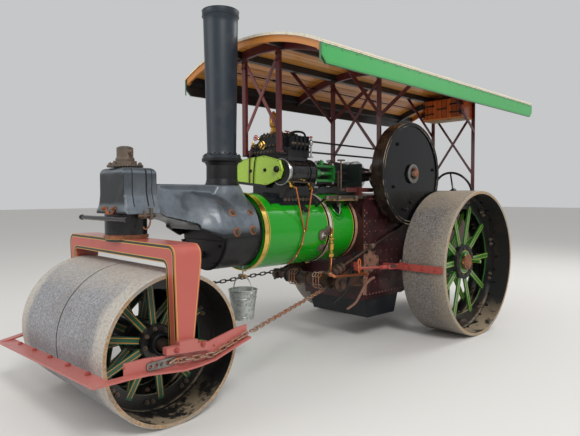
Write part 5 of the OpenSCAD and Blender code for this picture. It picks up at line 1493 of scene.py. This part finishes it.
rollTrim = {
    "front": dict(rings=((434.5, 12.5), (214.5, 30.5)), spokes=9, ringR=412, pairAngle=3.2, hubY=460.5,
                  hubR=98, hubCount=8, rimR=479.5, rimY=(625, 655), rimCount=36),
    "rear": dict(rings=((896.5, 34), (724.5, 16)), spokes=10, ringR=655, pairAngle=2.4, hubY=900.5,
                 hubR=150, hubCount=10, rimR=745.5, rimY=(925, 905), rimCount=30),
}


def spokeBolts(bolts, trim, centre, side, across, height):
    # Bolt pairs at the spokes' feet on both rings, and the nuts round the hub
    for plane, first in trim["rings"]:
        for k in range(trim["spokes"]):
            for off in (-trim["pairAngle"], trim["pairAngle"]):
                out = clock(first + 360 / trim["spokes"] * k + off) * trim["ringR"]
                bolts.nut(centre + out + Vector((0, side * plane, 0)), (0, side, 0), across, height)
    hub = centre + Vector((0, side * trim["hubY"], 0))
    for at in around(hub, (0, 1, 0), trim["hubR"], trim["hubCount"], 12):
        bolts.nut(at, (0, side, 0), 22, 15)


def frontRollFittings(side, body):
    dark = Shape("front_roll_trim_" + body[11:], "castBlack", body)
    bolts = Shape("front_roll_bolts_" + body[11:], "agedIron", body)
    x, z, trim = frontAxleX, frontRollR, rollTrim["front"]
    spokeBolts(bolts, trim, spot(x, 0, z), side, 24, 17)
    dark.turned([(0, 60), (0, 74), (10, 80), (60, 78), (70, 70), (70, 60)], (x, side * 460.5, z),
                (0, side, 0), 40)
    dark.hoop((x, side * 459, z), (0, 1, 0), 121.5, 4, 8, 64)
    # Rivets round the inside of the rim, outer end
    for k in range(trim["rimCount"]):
        out = clock(10 * k)
        dark.rivet(spot(x, side * trim["rimY"][k % 2], z) + out * trim["rimR"], -out, 9)


def rearRollFittings(side, body):
    bolts = Shape("rear_roll_bolts_" + body[10:], "agedIron", body)
    dark = Shape("rear_roll_trim_" + body[10:], "castBlack", body)
    rust = Shape("rear_axle_collar_pin_" + body[10:], "rustyIron")
    z, trim = rearRollR, rollTrim["rear"]
    spokeBolts(bolts, trim, spot(0, 0, z), side, 30, 22)
    for k in range(trim["rimCount"]):
        out = clock(6 + 12 * k)
        dark.nut(spot(0, side * trim["rimY"][k % 2], z) + out * trim["rimR"], -out, 26, 14, 1.2)
    dark.turned([(0, 128.5), (0, 187), (6, 190), (10, 186), (10, 128.5)], (0, side * 895.5, z), (0, side, 0),
                64)
    # Axle end: collar pin and end cap; they stay with the axle
    rust.rod((-96, side * 922, z), (96, side * 922, z), 13, sides=18)
    rust.ball((97, side * 922, z), 17, sides=14)
    rust.turned([(0, 0), (0, 34), (4, 30), (6, 10), (6, 0)], (0, side * 945.2, z), (0, side, 0), 28)


flywheelFittings()
for side, word in ((1, "left"), (-1, "right")):
    frontRollFittings(side, "front_roll_" + word)
    rearRollFittings(side, "rear_roll_" + word)

# Fork and scraper frame

def forkFittings():
    bolts = Shape("scraper_frame_bolts", "linkRed", "front_fork")
    for side in both:
        # Bolts on the foot brackets and rivets along the side bar
        for dx in (-98, 98):
            bolts.nut((frontAxleX + dx, side * 852.5, 560), (0, side, 0), 26, 16)
        for px in (3100, 3220, 3340, 3460, 3800, 3980):
            bolts.rivet((px, side * 819, 520 if px < 3400 else 518 - sunk(px, side)), (0, side, 0), 9)
    for y in (-600, -300, 0, 300, 600):
        z = 471 - chainFacts["droop"] * (820 - y) / 1640
        bolts.nut((4100, y, z), upwards, 26, 12)


forkFittings()
endStage("running gear")

# Canopy, locker, tender and footplate

canopyFacts = {
    "rear": -1748, "front": 2390, "half": 927, "sideZ": 2710, "crownZ": 2913,
    "posts": [(2172, 234, 1901), (790, 322, 1515), (-1394, 302, 1040)],
}


def roofZ(y, down=0):
    # Height of the roof's upper face over y
    half, rise = canopyFacts["half"], canopyFacts["crownZ"] - canopyFacts["sideZ"]
    radius = (half * half + rise * rise) / (2 * rise)
    return canopyFacts["crownZ"] - radius + math.sqrt(radius * radius - y * y) - down


def canopyTrim():
    cream = Shape("roof_cloth_hem", "roofCloth")
    dark = Shape("canopy_tie_rods", "castBlack")
    nuts = Shape("canopy_bolts", "maroonPaint")
    # Rolled edge of the roof cloth along the sides and across both ends
    ends = (canopyFacts["rear"] + 8, canopyFacts["front"] - 8)
    for side in both:
        cream.tube([(x, side * 922.5, 2701.5) for x in ends], 8.5, 10)
    for x in ends:
        cream.tube([(x, 920 * (k / 12 - 1), roofZ(920 * (k / 12 - 1), 8)) for k in range(25)], 8.5, 10)
    # Ridge strips over the roof cloth's seams
    seams = Shape("roof_cloth_seams", "roofCloth")
    for k in range(5):
        x = canopyFacts["rear"] + 690 * (k + 1)
        seams.tube([(x, 900 * (j / 10 - 1), roofZ(900 * (j / 10 - 1), 1)) for j in range(21)], 4, 6)
    # Bolts where the posts meet the hoops and the beams
    for x, y, foot in canopyFacts["posts"]:
        for side in both:
            top = roofZ(y, 101)
            for dz in (-30, -85):
                for dy in (-14, 14):
                    nuts.nut((x + 24, side * y + dy, top + dz), forwards, 18, 11)
            for dx in (-16, 16):
                nuts.nut((x + dx, side * (y + 16), foot + 14.5), upwards, 16, 11)
    # Tie rods between the hoops, with turnbuckles
    for side in both:
        for x0, x1 in ((2160, 800), (780, -1384)):
            a, b = spot(x0, side * 600, roofZ(600, 62)), spot(x1, side * 600, roofZ(600, 62))
            dark.rod(a, b, 7, sides=12)
            dark.turned([(0, 7), (0, 11), (10, 13), (90, 13), (100, 11), (100, 7)], (a + b) / 2, b - a, 16)
    for side in both:
        for k in range(22):
            nuts.rivet((canopyFacts["rear"] + 90 + k * 190, side * 927.2, 2666.5), (0, side, 0), 6)


lockerFacts = {"face": -1071.6, "strapZ": (2620, 2727), "mouldingZ": (2530.5, 2800.5), "haspZ": 2676}


def lockerStraps():
    # Black strap hinges and the hasp; they turn with their door
    face, hasp = lockerFacts["face"], lockerFacts["haspZ"]
    for side, word in ((1, "left"), (-1, "right")):
        strap = Shape("locker_straps_" + word, "castBlack", "locker_door_" + word)
        for z in lockerFacts["strapZ"]:
            out = [(side * 282, z - 11), (side * 150, z - 8), (side * 128, z - 13), (side * 112, z),
                   (side * 128, z + 13), (side * 150, z + 8), (side * 282, z + 11)]
            strap.plate(out, 5, frontPlane(face))
            strap.slab((face, side * 262 - 8, z - 40), (face + 6, side * 262 + 8, z + 40), 1.5)
            for y, proud in ((262, 8), (205, 8), (145, 5)):
                strap.rivet((face + proud, side * y, z), forwards, 5.5)
        if side > 0:
            strap.slab((face, -58, hasp - 8), (face + 5, 58, hasp + 8), 1.5)
            for y in (-56, 56):
                strap.slab((face, y - 6, hasp - 12), (face + 6, y + 6, hasp + 12), 1.5)
            strap.hoop((face + 10, 0, hasp), upwards, 10, 3, 8, 20)
    edge = Shape("locker_mouldings", "plankWood")
    for z in lockerFacts["mouldingZ"]:
        edge.slab((-1369, -291, z), (-1090.5, 291, z + 5.5), 1.5)


backheadFacts = {
    "face": 499.5, "glassY": 220, "glassZ": (1230, 1350), "gauge": (-180, 1400), "fireDoorZ": 1085,
}


def backhead():
    # What the crew works with, on the firebox's rear face
    brass = Shape("backhead_brass", "brass")
    dark = Shape("fire_door", "castBlack")
    glass = Shape("water_gauge_glass", "brightSteel")
    red = Shape("backhead_wheels", "redPaint")
    x, out = backheadFacts["face"], -forwards
    dark.turned([(0, 0), (0, 165), (10, 165), (16, 150), (20, 60), (20, 0)],
                (x, 0, backheadFacts["fireDoorZ"]), out, 48)
    dark.rod((x - 18, -150, 1100), (x - 60, -150, 1120), 9, sides=12)
    for z in (1150, 1020):
        dark.bar((x - 22, 170, z), (x - 22, -20, z), 8, 26)
    for k in range(8):
        for y in (-310, 310):
            dark.rivet((x, y, 970 + 60 * k), out, 9)
    # Water gauge: two cocks and the glass
    y, (low, high) = backheadFacts["glassY"], backheadFacts["glassZ"]
    for z in (high + 10, low - 10):
        brass.rod((x, y, z), (x - 55, y, z), 12, sides=16)
        brass.ball((x - 55, y, z), 20, sides=16)
        brass.rod((x - 55, y, z), (x - 55, y + 45, z), 6, sides=10)
    glass.rod((x - 55, y, low), (x - 55, y, high), 9, sides=16)
    # Pressure gauge with a plain face
    gauge = spot(x, *backheadFacts["gauge"])
    brass.turned([(0, 0), (0, 62), (10, 70), (34, 70), (40, 64), (36, 60), (36, 0)], gauge + out * 20, out,
                 40)
    brass.tube(smoothLine([(x - 28, -180, 1335), (x - 30, -180, 1280), (x - 16, -140, 1250),
                           (x, -120, 1250)]), 6, 10)
    for y, z in ((70, 1370), (-50, 1370)):
        brass.rod((x, y, z), (x - 50, y, z), 10, sides=14)
        red.hoop((x - 58, y, z), out, 34, 5, 8, 30)
        for k in range(3):
            reach = ray(60 * k) * 34
            red.rod(spot(x - 58, y, z) - reach, spot(x - 58, y, z) + reach, 3.5, sides=8)
    face = Shape("pressure_gauge_face", "gaugeFace")
    face.turned([(0, 0), (0, 60.5), (3, 60.5), (3, 0)], gauge + out * 56, out, 40)
    hand = Shape("pressure_gauge_hand", "castBlack")
    hand.bar(gauge + Vector((-60.5, -12, -12)), gauge + Vector((-60.5, 30, 30)), 1.5, 4, 0.4)
    hand.turned([(0, 0), (0, 6), (4, 5), (4, 0)], gauge + out * 59.5, out, 16)
    for k in range(11):
        way = ray(-45 + 27 * k)
        hand.rod(gauge + out * 60 + way * 47, gauge + out * 60 + way * 56, 1.4, sides=6)


tenderFacts = {
    "side": 406.3, "rear": -1430.3, "rivetPitch": 51.5, "rows": (505, 935, 1400), "ends": (-1398, -205),
    "beadZ": 1440.5,
}


def tenderFittings():
    rivets = Shape("tender_rivets", "tenderPaint")
    bead = Shape("tender_beading", "castBlack")
    rows, pitch, top = (tenderFacts[k] for k in ("rows", "rivetPitch", "beadZ"))
    for side in both:
        y = side * tenderFacts["side"]
        for k in range(24):
            for z in rows[:2]:
                rivets.rivet((-1395 + k * pitch, y, z), (0, side, 0), 8)
        for k in range(9):
            for x in tenderFacts["ends"]:
                rivets.rivet((x, y, rows[0] + 54 * k), (0, side, 0), 8)
        bead.tube([(-1425, side * 400, top), (-620, side * 400, top)], 9, 10)
    for k in range(15):
        for z in rows:
            rivets.rivet((tenderFacts["rear"], -360 + k * pitch, z), -forwards, 8)
    bead.tube([(-1424, -400, top), (-1424, 400, top)], 9, 10)
    for side in both:
        # Hand rail beside the way up to the footplate
        bead.tube(rounded([(-800, side * 405, 1120), (-800, side * 440, 1120), (-800, side * 440, 1380),
                           (-800, side * 405, 1380)], 20), 9, 10)
    draw = Shape("drawbar_bolts", "agedIron")
    for x, y in ((-1455, 45), (-1455, -45), (-1500, 45), (-1500, -45)):
        draw.nut((x, y, 580), upwards, 30, 20)


bucketFacts = {"place": (2476, 74, 430), "height": 260, "footR": 92, "rimR": 126, "rings": (28, 190)}


def bucketRim():
    # Rolled rim, raised rings and the ears of the bail; rides with the machine
    zinc = Shape("bucket_rings", "zinc")
    wire = Shape("bucket_grip", "plankWood")
    x, y, z = bucketFacts["place"]
    height, foot, rim = (bucketFacts[k] for k in ("height", "footR", "rimR"))
    zinc.hoop((x, y, z + height - 1), upwards, rim - 0.5, 5.5, 10, 72)
    for dz in bucketFacts["rings"]:
        # Half a millimetre outside the bucket's cone
        zinc.hoop((x, y, z + dz), upwards, foot + (rim - foot) * dz / height + 0.5, 3.2, 8, 72)
    for side in both:
        zinc.turned([(0, 0), (0, 20), (4, 21), (10, 14), (10, 0)], (x, y + side * 122, z + 236), (0, side, 0),
                    20)
    wire.turned([(0, 0), (0, 13), (12, 16), (86, 16), (98, 13), (98, 0)], (x, y - 49, z + 378), (0, 1, 0), 22)


canopyTrim()
lockerStraps()
backhead()
tenderFittings()
bucketRim()
for node, name, sharp, body in (("king_pin", "king_pin_turned", 35, "front_fork"),
                                ("steering_wheel", "steering_wheel_rim", 50, "root"),
                                ("chimney", "chimney_rolled", 35, "root")):
    smoothCopy(node, name, sharp, body)
endStage("canopy and footplate")

# Floor, light and camera

stage = {"size": 60, "floor": "#d8d6d2", "sky": "#e8e9ea", "skyStrength": 0.7}
lamps = [("key", (5.5, 9.5, 9.5), 950, 3.5), ("fill", (9.0, -3.0, 5.0), 230, 6.0),
         ("back", (-7.0, 2.0, 7.0), 320, 5.0)]


def makeStage():
    shape = bmesh.new()
    bmesh.ops.create_grid(shape, x_segments=1, y_segments=1, size=stage["size"])
    mesh = bpy.data.meshes.new("floor")
    shape.to_mesh(mesh)
    shape.free()
    floor = bpy.data.objects.new("floor", mesh)
    bpy.context.scene.collection.objects.link(floor)
    pale = Finish("paleFloor", Roughness=0.9)
    pale.paint(stage["floor"])
    mesh.materials.append(pale.material)


def makeLights():
    world = bpy.data.worlds.new("sky")
    world.use_nodes = True
    bpy.context.scene.world = world
    back = world.node_tree.nodes["Background"]
    back.inputs["Color"].default_value = tint(stage["sky"])
    back.inputs["Strength"].default_value = stage["skyStrength"]
    for name, place, power, size in lamps:
        lamp = bpy.data.lights.new(name, "AREA")
        lamp.energy = power
        lamp.size = size
        holder = bpy.data.objects.new(name, lamp)
        holder.location = place
        holder.rotation_euler = (Vector((0, 0, 1.0)) - Vector(place)).to_track_quat("-Z", "Y").to_euler()
        bpy.context.scene.collection.objects.link(holder)


cameraFacts = {"eye": (5.3927, 3.6278, 1.5172), "yaw": 225.407, "pitch": -2.493, "roll": -0.195,
               "focal": 522.34, "imageWidth": 580, "sensor": 36.0}


def makeCamera():
    yaw, pitch, roll = (math.radians(cameraFacts[k]) for k in ("yaw", "pitch", "roll"))
    ahead = Vector((math.cos(yaw) * math.cos(pitch), math.sin(yaw) * math.cos(pitch), math.sin(pitch)))
    right = ahead.cross(Vector((0, 0, 1))).normalized()
    up = right.cross(ahead)
    rightTurned = right * math.cos(roll) + up * math.sin(roll)
    upTurned = up * math.cos(roll) - right * math.sin(roll)
    data = bpy.data.cameras.new("view")
    data.sensor_width = cameraFacts["sensor"]
    data.lens = cameraFacts["focal"] * cameraFacts["sensor"] / cameraFacts["imageWidth"]
    camera = bpy.data.objects.new("view", data)
    turn = Matrix((rightTurned, upTurned, -ahead)).transposed().to_4x4()
    camera.matrix_world = Matrix.Translation(Vector(cameraFacts["eye"]) + Vector((rearX, 0, 0))) @ turn
    bpy.context.scene.collection.objects.link(camera)
    bpy.context.scene.camera = camera


makeStage()
makeLights()
makeCamera()
bpy.context.scene.view_settings.view_transform = "Standard"
print("stage ready")
